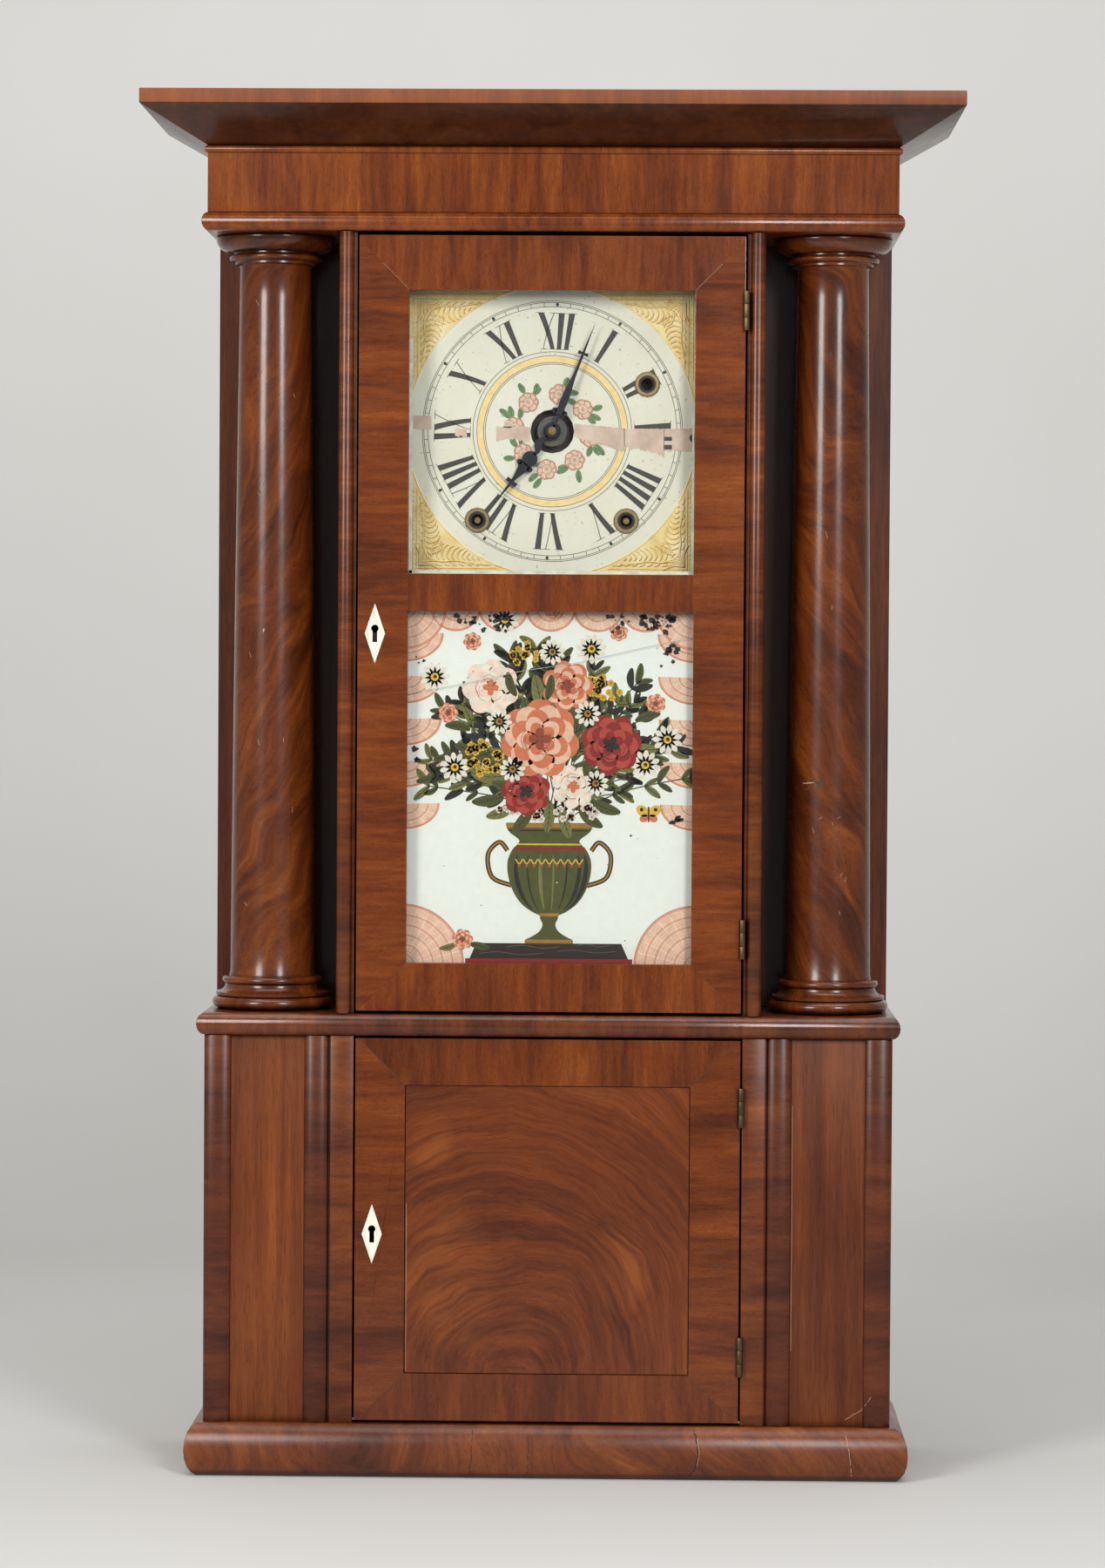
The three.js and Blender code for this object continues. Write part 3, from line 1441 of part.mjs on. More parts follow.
const upperSide = planBoard(upperSidePlan(), columnZ, mouldingZ);
addPiece('upper_left_side', mirrored(upperSide), 'mahogany');
addPiece('upper_right_side', upperSide, 'mahogany');

const innerWall = planBoard(innerWallPlan(), columnZ, mouldingZ);
addPiece('left_inner_wall', mirrored(innerWall), 'mahogany');
addPiece('right_inner_wall', cut(innerWall, ...upperMortises.map((z) => hingeMortise(1, z))), 'mahogany');

addPiece('left_column', buildColumn(-columnOffset), 'mahogany');
addPiece('right_column', buildColumn(columnOffset), 'mahogany');
addPiece('entablature_moulding', buildMouldingBoard(), 'mahogany');
addPiece('frieze', buildFrieze(), 'mahogany');
addPiece('cornice', buildCornice(), 'mahogany');
addPiece('top_board', buildTopBoard(), 'pine');
addPiece('backboard', buildBackboard(), 'pine');

addPiece('upper_door_frame', doorFrame(upperDoorZ, upperDoorTop,
  [[tabletZ, tabletTop], [dialOpeningZ, dialOpeningTop]], upperEscutcheonZ, upperMortises), 'mahogany');
addPiece('dial_glass', pane(dialOpeningZ, dialOpeningTop), 'glass');
addPiece('tablet_glass', pane(tabletZ, tabletTop), 'painted_glass');
addPiece('upper_escutcheon', escutcheonPlate(escutcheonX, upperEscutcheonZ), 'bone');

addPiece('lower_door_frame', doorFrame(lowerDoorZ, lowerDoorTop, [[panelZ, panelTop]],
  lowerEscutcheonZ, lowerMortises), 'mahogany');
addPiece('lower_door_panel', buildLowerPanel(), 'mahogany');
addPiece('lower_escutcheon', escutcheonPlate(escutcheonX, lowerEscutcheonZ), 'bone');

for (const [name, z] of Object.entries(hingeHeights)) {
  addPiece(`${name}_fixed`, fixedHingeLeaf(z), 'dark_brass');
  addPiece(`${name}_moving`, movingHingeLeaf(z), 'dark_brass');
}

addPiece('dial_board', buildDial(), 'dial_paint');
for (const [name, [x, z]] of Object.entries(windingHoles)) {
  addPiece(name, grommet(x, z), 'brass');
}
addPiece('minute_hand', buildMinuteHand(), 'steel');
addPiece('hour_hand', buildHourHand(), 'steel');

addPiece('front_plate', buildFrontPlate(), 'brass');
addPiece('back_plate', buildBackPlate(), 'brass');
addPiece('time_great_wheel', buildGreatWheel(), 'brass');
addPiece('second_wheel', buildSecondWheel(), 'brass');
addPiece('centre_wheel', buildCentreWheel(), 'brass');
addPiece('third_wheel', buildThirdWheel(), 'brass');
addPiece('escape_wheel', buildEscapeWheel(), 'brass');
addPiece('verge', buildVerge(), 'steel');
addPiece('minute_wheel', buildMinuteWheel(), 'brass');
addPiece('hour_wheel', buildHourWheel(), 'brass');

addPiece('pendulum_rod', buildPendulumRod(), 'brass');
addPiece('pendulum_bob', buildBob(), 'brass');

for (const [name, sign] of [['time', 1], ['strike', -1]]) {
  addPiece(`${name}_drum`, buildDrum(sign * windingOffset), 'brass');
  addPiece(`${name}_pulley`, buildPulley(sign), 'brass');
  addPiece(`${name}_weight`, buildWeight(sign * weightOffset), 'cast_iron');
  addPiece(`${name}_cord`, buildCord(sign), 'cord');
}

addPiece('hammer', buildHammer(), 'steel');
addPiece('gong', buildGong(), 'steel');
addPiece('gong_base', buildGongBase(), 'cast_iron');

export default clock;
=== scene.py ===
import random
from math import acos, cos, degrees, hypot, pi, radians, sin, sqrt

import bmesh
import bpy
from mathutils import Matrix, Vector
from mathutils.bvhtree import BVHTree


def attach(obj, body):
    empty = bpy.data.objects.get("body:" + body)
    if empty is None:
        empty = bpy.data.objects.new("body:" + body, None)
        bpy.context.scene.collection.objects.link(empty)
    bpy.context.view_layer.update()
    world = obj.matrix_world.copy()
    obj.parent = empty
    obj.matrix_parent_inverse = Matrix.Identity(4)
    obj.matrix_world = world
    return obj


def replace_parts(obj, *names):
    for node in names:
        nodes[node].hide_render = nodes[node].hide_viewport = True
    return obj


MM = 0.001
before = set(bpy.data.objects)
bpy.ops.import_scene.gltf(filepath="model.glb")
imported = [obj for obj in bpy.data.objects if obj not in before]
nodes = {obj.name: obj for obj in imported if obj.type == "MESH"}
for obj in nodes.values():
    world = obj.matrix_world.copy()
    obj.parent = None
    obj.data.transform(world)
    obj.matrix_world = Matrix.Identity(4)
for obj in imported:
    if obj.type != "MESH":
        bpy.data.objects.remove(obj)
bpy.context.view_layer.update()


# ---------------------------------------------------------------- materials

class Shader:
    """A material under construction: every call adds one node and gives its output."""

    def __init__(self, name):
        self.material = bpy.data.materials.new(name)
        self.material.use_nodes = True
        self.tree = self.material.node_tree
        self.tree.nodes.clear()

    def feed(self, socket, value):
        if isinstance(value, bpy.types.NodeSocket):
            self.tree.links.new(value, socket)
        elif value is not None:
            socket.default_value = value

    def add(self, kind, values=(), **settings):
        node = self.tree.nodes.new("ShaderNode" + kind)
        for key, value in settings.items():
            setattr(node, key, value)
        for key, value in dict(values).items():
            self.feed(node.inputs[key], value)
        return node

    def place(self):
        return self.add("TexCoord").outputs["Object"]

    def math(self, operation, a, b=None):
        node = self.add("Math", operation=operation)
        for socket, value in zip(node.inputs, (a, b)):
            self.feed(socket, value)
        return node.outputs[0]

    def times(self, a, b):
        return self.math("MULTIPLY", a, b)

    def plus(self, a, b):
        return self.math("ADD", a, b)

    def minus(self, a, b):
        return self.math("SUBTRACT", a, b)

    def over(self, a, b):
        return self.math("GREATER_THAN", a, b)

    def under(self, a, b):
        return self.math("LESS_THAN", a, b)

    def most(self, a, b):
        return self.math("MAXIMUM", a, b)

    def vector(self, operation, a, b=None):
        return self.add("VectorMath", {0: a, 1: b}, operation=operation).outputs[0]

    def parts(self, vector):
        node = self.add("SeparateXYZ", {0: vector})
        return node.outputs[0], node.outputs[1], node.outputs[2]

    def combine(self, x, y, z):
        return self.add("CombineXYZ", {0: x, 1: y, 2: z}).outputs[0]

    def noise(self, vector, scale, detail=3.0, rough=0.5, warp=0.0, colour=False):
        node = self.add("TexNoise", {"Vector": vector, "Scale": scale, "Detail": detail,
                                     "Roughness": rough, "Distortion": warp})
        return node.outputs["Color" if colour else "Fac"]

    def ramp(self, factor, stops, smooth=False):
        node = self.add("ValToRGB", {"Fac": factor})
        ramp = node.color_ramp
        ramp.interpolation = "EASE" if smooth else "LINEAR"
        while len(ramp.elements) < len(stops):
            ramp.elements.new(0.5)
        for element, (at, colour) in zip(ramp.elements, stops):
            element.position = at
            element.color = (*colour, 1.0) if isinstance(colour, tuple) else (colour, colour, colour, 1.0)
        return node.outputs["Color"]

    def mix(self, factor, a, b, blend="MIX"):
        node = self.add("Mix", data_type="RGBA", blend_type=blend)
        self.feed(node.inputs[0], factor)
        self.feed(node.inputs[6], (*a, 1.0) if isinstance(a, tuple) else a)
        self.feed(node.inputs[7], (*b, 1.0) if isinstance(b, tuple) else b)
        return node.outputs[2]

    def either(self, factor, a, b):
        """Vector a where the factor is 0, vector b where it is 1."""
        node = self.add("Mix", data_type="VECTOR")
        self.feed(node.inputs[0], factor)
        self.feed(node.inputs[4], a)
        self.feed(node.inputs[5], b)
        return node.outputs[1]

    def crevice(self, reach):
        """1 on open surfaces, lower in corners and grooves."""
        return self.add("AmbientOcclusion", {"Distance": reach}, samples=8).outputs["AO"]

    def bump(self, height, strength, distance, normal=None):
        return self.add("Bump", {"Height": height, "Strength": strength, "Distance": distance,
                                 "Normal": normal}).outputs[0]

    def surface(self, colour, rough, normal=None, more=()):
        values = {"Base Color": colour, "Roughness": rough, "Normal": normal, **dict(more)}
        return self.close(self.add("BsdfPrincipled", values).outputs[0])

    def close(self, output):
        self.feed(self.add("OutputMaterial").inputs["Surface"], output)
        return self.material


MAHOGANY = ((0.24, (0.066, 0.0125, 0.0022)), (0.40, (0.132, 0.0260, 0.0034)),
            (0.52, (0.196, 0.0420, 0.0048)), (0.64, (0.258, 0.0610, 0.0070)),
            (0.80, (0.380, 0.1080, 0.0130)))
BEAD = ((0.24, (0.036, 0.0080, 0.0020)), (0.40, (0.076, 0.0155, 0.0032)),
        (0.52, (0.116, 0.0250, 0.0045)), (0.64, (0.164, 0.0390, 0.0065)), (0.80, (0.250, 0.0680, 0.0110)))
# painted shade: mahogany tones darkened to the shade of a recess
SHADED_RECESS = ((0.28, (0.014, 0.0040, 0.0022)), (0.45, (0.032, 0.0085, 0.0040)), (0.60, (0.055, 0.0140, 0.0060)),
          (0.75, (0.080, 0.0200, 0.0075)))
PINE = ((0.28, (0.130, 0.070, 0.032)), (0.45, (0.250, 0.150, 0.072)), (0.60, (0.360, 0.235, 0.125)),
        (0.76, (0.440, 0.310, 0.180)))


def begin(name):
    n = Shader(name)
    return n, n.place()


def upright(n, p, squeeze):
    x, y, z = n.parts(p)
    return n.combine(x, y, n.times(z, squeeze))


def level(n, p, squeeze):
    x, y, z = n.parts(p)
    return n.combine(n.times(x, squeeze), n.times(y, squeeze), z)


def slanted(n, p, squeeze, angle):
    turned = n.add("Mapping", {"Vector": p, "Rotation": (0.0, angle, 0.0)}).outputs[0]
    return upright(n, turned, squeeze)


def swirled(n, p, scale, detail, reach):
    """The point p, pushed aside by soft noise."""
    return n.vector("ADD", p, n.vector("MULTIPLY", n.noise(p, scale, detail, colour=True), reach))


def wood_surface(n, grain, place, tones=MAHOGANY, bands=46.0, warp=0.8, figure=0.42, gloss=0.30, coat=0.45,
                 corner_shade=0.75, seed=0.0, tint=None, shade=None, polish=0.13):
    """Polished veneer: bands of figure, fine fibre, pores, painted shade in the corners and a wavy polish.
    """
    moved = n.vector("ADD", grain, (seed * 1.7, seed * 0.9, seed * 1.3))
    band = n.noise(moved, bands, 3.0, 0.55, warp)
    streak = n.noise(moved, bands * 5.0, 3.0, 0.6, 0.4)
    fine = n.noise(moved, bands * 17.0, 4.0, 0.6, 0.3)
    blotch = n.noise(place, 8.0, 2.0, 0.5, 0.5)
    rest = 1.0 - figure
    value = n.times(band, figure)
    for part, share in ((streak, 0.42), (fine, 0.22), (blotch, 0.36)):
        value = n.plus(value, n.times(part, rest * share))
    spread = n.plus(n.times(n.minus(value, 0.5), 1.65), 0.5)
    colour = n.ramp(spread, tones)
    pores = n.noise(moved, bands * 52.0, 2.0, 0.5, 0.0)
    pore = n.ramp(pores, ((0.36, 0.55), (0.44, 1.0)))
    colour = n.mix(0.8, colour, pore, "MULTIPLY")
    if tint is not None:
        colour = tint(colour)
    if shade is not None:
        colour = n.mix(1.0, colour, shade, "MULTIPLY")
    # painted shade: the colour is darkened in corners and grooves
    if corner_shade:
        corner_shade_tone = n.ramp(n.crevice(0.006), ((0.35, (0.20, 0.16, 0.15)), (0.85, (1.0, 1.0, 1.0))))
        colour = n.mix(corner_shade, colour, corner_shade_tone, "MULTIPLY")
    rough = n.plus(n.times(n.noise(place, 70.0, 4.0, 0.6), 0.22), gloss - 0.11)
    wave = n.bump(n.noise(place, 26.0, 2.0), 0.10, 0.002)
    skin = n.bump(fine, 0.16, 0.0003, wave)
    return n.surface(colour, rough, skin, {"Specular IOR Level": 0.22, "Coat Weight": coat,
                                           "Coat Roughness": polish, "Coat Normal": wave})


def wood(name, direction=upright, squeeze=0.12, **look):
    n, place = begin(name)
    return wood_surface(n, direction(n, place, squeeze), place, **look)


def slanted_wood(name, angle, squeeze=0.16, **look):
    n, place = begin(name)
    bent = swirled(n, place, 6.0, 2.0, (0.16, 0.0, 0.16))
    return wood_surface(n, slanted(n, bent, squeeze, angle), place, **look)


def frame_wood(name, half, openings, squeeze=0.12, **look):
    """A door frame: upright grain on the rails and level grain on the stiles, mitred from the corners."""
    n, place = begin(name)
    x, _, z = n.parts(place)
    out = n.minus(n.math("ABSOLUTE", x), half)
    top = n.minus(n.minus(z, openings[1]), out)
    foot = n.minus(n.minus(openings[0], z), out)
    rail = n.most(n.most(top, foot), n.times(out, -1.0))
    on_rail = n.over(rail, 0.0)
    grain = n.either(on_rail, level(n, place, squeeze), upright(n, place, squeeze))
    return wood_surface(n, grain, place, **look)


def flank_surface(name):
    """The lower flank: upright grain on the panel, level grain beside it, darker tones on the beads."""
    n, place = begin(name)
    x, y, _ = n.parts(place)
    reach = n.math("ABSOLUTE", x)
    panel = n.times(n.over(reach, 0.1746), n.under(reach, 0.2272))
    panel = n.times(panel, n.under(y, -0.04))
    side = n.most(panel, n.over(y, -0.0345))
    grain = n.either(side, level(n, place, 0.16), upright(n, place, 0.045))
    bead = n.times(n.over(reach, 0.1562), n.minus(1.0, side))

    def tint(colour):
        return n.mix(n.times(bead, 0.9), colour, (0.60, 0.56, 0.95), "MULTIPLY")

    return wood_surface(n, grain, place, bands=38.0, tint=tint, seed=3.0, shade=(0.72, 0.74, 0.95),
                        gloss=0.38, coat=0.22, polish=0.26, figure=0.5)


def cornice_surface(name):
    """Cornice: streaked veneer, the upright fascia painted paler and greyer as a sheen, the splay below it
    painted nearly black as shade.
    """
    n, place = begin(name)
    z = n.parts(place)[2]
    fascia = n.over(z, 0.9764)

    def tint(colour):
        # painted shade on the downward-facing splay, painted sheen on the fascia
        dark = n.mix(1.0, colour, (0.34, 0.36, 0.52), "MULTIPLY")
        pale = n.mix(0.42, colour, (0.27, 0.112, 0.064))
        return n.mix(fascia, dark, pale)

    return wood_surface(n, upright(n, place, 0.14), place, bands=40.0, seed=8.0, tint=tint, gloss=0.34)


def side_surface(name):
    """Upper side boards: the outer strip is polished, the backing behind the column painted nearly black as
    shade.
    """
    n, place = begin(name)
    x = n.parts(place)[0]
    inner = n.under(n.math("ABSOLUTE", x), 0.2285)

    def tint(colour):
        # painted shade on the backing behind the column
        return n.mix(inner, colour, n.mix(1.0, colour, (0.30, 0.32, 0.40), "MULTIPLY"))

    return wood_surface(n, upright(n, place, 0.06), place, tones=BEAD, bands=40.0, gloss=0.36, seed=7.0,
                        tint=tint)


def column_surface(name, centre):
    """Flame veneer wrapped round a column, slanting as it rises."""
    n, place = begin(name)
    x, y, z = n.parts(place)
    round_it = n.math("ARCTAN2", n.minus(x, centre), n.times(y, -1.0))
    flat = n.combine(n.times(round_it, 0.03), 0.0, z)
    bent = swirled(n, flat, 9.0, 2.0, (0.05, 0.0, 0.16))
    grain = slanted(n, bent, 0.20, radians(38 if centre > 0 else -30))
    return wood_surface(n, grain, place, tones=BEAD, bands=40.0, warp=1.4, figure=0.48, gloss=0.27,
                        coat=0.55, seed=centre * 30, polish=0.17)


def crotch_surface(name):
    """Crotch veneer: arcs of figure round a point low in the panel, with patches of orange streaks."""
    n, place = begin(name)
    bent = swirled(n, place, 9.0, 3.0, (0.05, 0.0, 0.05))
    x, _, z = n.parts(bent)
    across = n.plus(x, 0.004)
    up = n.minus(z, 0.085)
    reach = n.math("SQRT", n.plus(n.times(across, n.times(across, 1.7)), n.times(up, up)))
    turn = n.math("ARCTAN2", across, n.plus(up, 0.02))
    grain = n.combine(n.times(turn, 0.012), 0.0, reach)

    def glow(cx, cz, wide, tall):
        u = n.math("DIVIDE", n.minus(x, cx), wide)
        v = n.math("DIVIDE", n.minus(z, cz), tall)
        far = n.plus(n.times(u, u), n.times(v, v))
        return n.ramp(far, ((0.0, 1.0), (1.0, 0.0)), smooth=True)

    def tint(colour):
        patches = n.plus(glow(-0.046, 0.170, 0.034, 0.075), glow(0.078, 0.175, 0.022, 0.040))
        patches = n.plus(patches, glow(-0.055, 0.262, 0.022, 0.024))
        streaks = n.ramp(n.noise(grain, 210.0, 4.0), ((0.40, 0.0), (0.60, 1.0)))
        patches = n.times(patches, n.ramp(n.noise(grain, 60.0, 3.0), ((0.36, 0.1), (0.62, 1.0))))
        share = n.times(patches, n.plus(n.times(streaks, 0.45), 0.05))
        return n.mix(n.math("MINIMUM", share, 0.5), colour, (0.42, 0.125, 0.016))

    return wood_surface(n, grain, place, bands=44.0, warp=1.1, figure=0.36, gloss=0.34, seed=1.0, tint=tint,
                        shade=(0.72, 0.70, 0.95), coat=0.3, polish=0.2)


def metal(name, colour, rough, dark=0.5, scale=60.0, tarnish=(0.06, 0.04, 0.02)):
    n, place = begin(name)
    stain = n.noise(place, scale, 5.0, 0.6, 0.4)
    worn = n.mix(n.ramp(stain, ((0.40, 0.0), (0.70, dark))), colour, tarnish)
    # painted shade: the colour is darkened in crevices and corners
    shade = n.ramp(n.crevice(0.003), ((0.3, 0.35), (0.9, 1.0)))
    worn = n.mix(0.8, worn, shade, "MULTIPLY")
    gloss = n.plus(n.times(stain, 0.3), rough - 0.15)
    skin = n.bump(n.noise(place, scale * 18.0, 3.0), 0.12, 0.0002)
    return n.surface(worn, gloss, skin, {"Metallic": 1.0})


def paint(name, colour, rough=0.45, mottle=0.10, scale=120.0, bump=0.05):
    """A brushed paint film, a little uneven in tone."""
    n, place = begin(name)
    cloud = n.noise(place, scale, 4.0, 0.6, 0.3)
    low = tuple(c * (1.0 - mottle) for c in colour)
    high = tuple(min(c * (1.0 + mottle), 0.9) for c in colour)
    skin = n.bump(n.noise(place, scale * 8.0, 3.0), bump, 0.0003)
    return n.surface(n.mix(n.ramp(cloud, ((0.3, 0.0), (0.7, 1.0))), low, high), rough, skin)


def dial_surface(name):
    """Old off-white oil paint: yellowed clouds, fine crazing and small specks."""
    n, place = begin(name)
    cloud = n.ramp(n.noise(place, 14.0, 4.0, 0.6, 0.4),
                   ((0.35, (0.71, 0.69, 0.55)), (0.65, (0.755, 0.765, 0.66))))
    cells = n.add("TexVoronoi", {"Vector": place, "Scale": 190.0},
                  feature="DISTANCE_TO_EDGE").outputs["Distance"]
    craze = n.ramp(cells, ((0.0, 0.90), (0.022, 1.0)))
    speck = n.ramp(n.noise(place, 420.0, 2.0), ((0.26, 0.55), (0.31, 1.0)))
    colour = n.mix(1.0, n.mix(0.5, cloud, craze, "MULTIPLY"), speck, "MULTIPLY")
    skin = n.bump(n.noise(place, 300.0, 3.0), 0.06, 0.0003)
    return n.surface(colour, 0.42, skin)


def gilt_surface(name, share=1.0):
    """Pale gold leaf over gesso, rubbed in places."""
    n, place = begin(name)
    cloud = n.noise(place, 60.0, 4.0, 0.6, 0.4)
    colour = n.ramp(cloud, tuple((at, tuple(c * share for c in tone)) for at, tone in
                                 ((0.30, (0.72, 0.52, 0.20)), (0.50, (0.84, 0.67, 0.32)),
                                  (0.72, (0.88, 0.78, 0.50)))))
    shade = n.ramp(n.crevice(0.0009), ((0.3, (0.42, 0.28, 0.12)), (0.9, (1.0, 1.0, 1.0))))
    skin = n.bump(n.noise(place, 800.0, 3.0), 0.08, 0.0002)
    return n.surface(n.mix(0.9, colour, shade, "MULTIPLY"), 0.30, skin, {"Metallic": 0.20})


def tape_surface(name):
    """Woven repair tape, pinkish and soiled."""
    n, place = begin(name)
    x, _, z = n.parts(place)
    warp = n.math("SINE", n.times(x, 5200.0))
    weft = n.math("SINE", n.times(z, 5200.0))
    weave = n.times(warp, weft)
    cloud = n.noise(place, 60.0, 4.0, 0.6)
    colour = n.ramp(cloud, ((0.30, (0.56, 0.42, 0.32)), (0.55, (0.74, 0.57, 0.46)),
                            (0.75, (0.80, 0.68, 0.56))))
    colour = n.mix(0.35, colour, n.ramp(weave, ((0.0, 0.55), (0.6, 1.0))), "MULTIPLY")
    return n.surface(colour, 0.8, n.bump(weave, 0.4, 0.0002))


def glass_surface(name, tone, sheen=1.0):
    n = Shader(name)
    clear = n.add("BsdfTransparent", {"Color": (*tone, 1.0)}).outputs[0]
    ripple = n.bump(n.noise(n.place(), 14.0, 2.0), 0.02, 0.002)
    shine = n.add("BsdfGlossy", {"Roughness": 0.02, "Normal": ripple}).outputs[0]
    edge = n.times(n.add("Fresnel", {"IOR": 1.48, "Normal": ripple}).outputs[0], sheen)
    node = n.add("MixShader", {0: edge, 1: clear, 2: shine})
    return n.close(node.outputs[0])


def cord_surface(name):
    """Twisted cotton: slanting strands round the cord."""
    n, place = begin(name)
    x, y, z = n.parts(place)
    strand = n.math("SINE", n.plus(n.times(z, 3600.0), n.times(n.plus(x, y), 2600.0)))
    colour = n.mix(n.ramp(strand, ((0.0, 0.0), (1.0, 1.0))), (0.20, 0.15, 0.09), (0.46, 0.37, 0.25))
    return n.surface(colour, 0.85, n.bump(strand, 0.5, 0.0004))


def pine_surface(name, squeeze=0.06, seed=0.0, tones=PINE, planks=0.0):
    """Bare old pine; with a plank width it shows open seams and rows of small rusty nail heads."""
    n, place = begin(name)
    x, _, z = n.parts(place)

    def near(value, pitch, reach):
        part = n.math("ABSOLUTE", n.minus(n.math("FRACT", n.math("DIVIDE", value, pitch)), 0.5))
        return n.under(n.times(part, pitch), reach)

    def tint(colour):
        if not planks:
            return colour
        seam = near(x, planks, 0.0006)
        u = n.minus(n.math("FRACT", n.math("DIVIDE", x, planks * 0.25)), 0.5)
        v = n.minus(n.math("FRACT", n.math("DIVIDE", n.minus(z, 0.06), 0.29)), 0.5)
        u, v = n.times(u, planks * 0.25), n.times(v, 0.29)
        head = n.under(n.plus(n.times(u, u), n.times(v, v)), 0.0000042)
        return n.mix(n.most(seam, head), colour, (0.035, 0.020, 0.013))

    return wood_surface(n, upright(n, place, squeeze), place, tones=tones, bands=34.0, gloss=0.72, coat=0.0,
                        corner_shade=0.6, seed=seed, tint=tint)


def iron_surface(name):
    n, place = begin(name)
    lump = n.noise(place, 420.0, 4.0, 0.65)
    rust = n.noise(place, 40.0, 4.0, 0.6, 0.5)
    colour = n.ramp(rust, ((0.35, (0.060, 0.055, 0.052)), (0.62, (0.105, 0.082, 0.066)),
                           (0.76, (0.20, 0.095, 0.045))))
    return n.surface(colour, 0.66, n.bump(lump, 0.5, 0.0006), {"Metallic": 0.35})


def bone_surface(name):
    n, place = begin(name)
    streak = n.noise(upright(n, place, 0.08), 900.0, 3.0)
    colour = n.ramp(streak, ((0.30, (0.60, 0.53, 0.38)), (0.45, (0.80, 0.77, 0.64)),
                             (0.70, (0.86, 0.84, 0.74))))
    shade = n.ramp(n.crevice(0.0012), ((0.4, (0.45, 0.33, 0.20)), (0.9, (1.0, 1.0, 1.0))))
    return n.surface(n.mix(0.8, colour, shade, "MULTIPLY"), 0.30, None,
                     {"Coat Weight": 0.3, "Subsurface Weight": 0.08,
                      "Subsurface Radius": (0.002, 0.0015, 0.001)})


plain_band = wood("mahogany_crossband", seed=0.0)
frieze_wood = wood("mahogany_frieze", bands=52.0, squeeze=0.10, seed=5.0)
cornice_wood = cornice_surface("mahogany_cornice")
side_wood = side_surface("mahogany_side")
shelf_wood = wood("mahogany_shelf", bands=36.0, seed=11.0, tones=BEAD)
base_wood = slanted_wood("mahogany_base", radians(32), bands=30.0, gloss=0.34, coat=0.42, seed=2.0,
                         polish=0.30, shade=(0.80, 0.86, 1.5))
upper_frame_wood = frame_wood("mahogany_upper_door", 0.102, (0.3685, 0.8492), bands=50.0, seed=6.0,
                              shade=(0.77, 0.74, 0.75), coat=0.35)
lower_frame_wood = frame_wood("mahogany_lower_door", 0.102, (0.074, 0.281), bands=44.0, seed=9.0,
                              shade=(0.66, 0.62, 0.70), coat=0.3)
flank_wood = flank_surface("mahogany_flank")
wall_wood = wood("mahogany_pilaster", level, tones=BEAD, bands=60.0, seed=4.0, coat=0.25, polish=0.24)
# painted shade: the darkened recess tones, used on the pulleys
shaded_recess_wood = wood("mahogany_shaded_recess", upright, 0.06, tones=SHADED_RECESS, bands=40.0, gloss=0.4, seed=7.0)
panel_wood = crotch_surface("mahogany_crotch")
pine = pine_surface("pine_board", seed=1.0)
pine_back = pine_surface("pine_backboard", seed=5.0, planks=0.156)
bone = bone_surface("bone_plate")
hinge_brass = metal("brass_hinge", (0.13, 0.085, 0.045), 0.46, 0.85)
grommet_brass = metal("brass_grommet", (0.58, 0.47, 0.25), 0.30, 0.35)
movement_brass = metal("brass_movement", (0.62, 0.44, 0.18), 0.26, 0.25)
steel = metal("steel_oiled", (0.34, 0.34, 0.36), 0.30, 0.3)
hand_steel = metal("steel_blackened", (0.050, 0.053, 0.066), 0.36, 0.2, tarnish=(0.03, 0.025, 0.02))
iron = iron_surface("iron_cast")
cord = cord_surface("cord_cotton")
dial_white = dial_surface("dial_white")
gilt = gilt_surface("dial_gilt", 1.06)
# painted highlight: a lighter copy of the gilt for the raised parts
gilt_highlight = gilt_surface("dial_gilt_highlight", 1.13)
gilt_shadow = paint("dial_gilt_shadow", (0.40, 0.27, 0.095), 0.5, 0.2, 300.0)
numeral_black = paint("dial_numeral", (0.045, 0.042, 0.038), 0.5, 0.25, 500.0)
line_grey = paint("dial_line", (0.13, 0.125, 0.10), 0.6, 0.2, 500.0)
ring_gold = paint("dial_ring", (0.84, 0.62, 0.28), 0.4, 0.10, 200.0)
rose_pink = paint("dial_rose", (0.44, 0.22, 0.15), 0.5, 0.25, 260.0)
rose_light = paint("dial_rose_light", (0.68, 0.49, 0.37), 0.5, 0.15, 260.0)
leaf_green = paint("dial_leaf", (0.13, 0.23, 0.095), 0.5, 0.3, 260.0)
collet_steel = metal("steel_collet", (0.20, 0.195, 0.18), 0.36, 0.4)
# painted shade: near-black for the centre well and the grommet lips
shade_brown = paint("dial_well_shade", (0.022, 0.010, 0.006), 0.5, 0.3, 300.0)
leaf_dark = paint("dial_leaf_dark", (0.055, 0.085, 0.042), 0.5, 0.3, 260.0)
tape = tape_surface("repair_tape")
clear_glass = glass_surface("glass_clear", (0.992, 0.994, 0.990), 0.5)
glass_edge = glass_surface("glass_tablet", (0.990, 0.994, 0.992), 0.5)
# dark for joints and cracks, and painted shade behind and inside the winding holes
dark_gap_and_shade = paint("gap_dark_and_shade", (0.012, 0.007, 0.005), 0.8, 0.2)
# pale scratches, and painted highlights for the glints
scratch_and_glint = paint("pale_scratch_and_glint", (0.42, 0.27, 0.17), 0.6, 0.2)


# ---------------------------------------------------------------- shape helpers

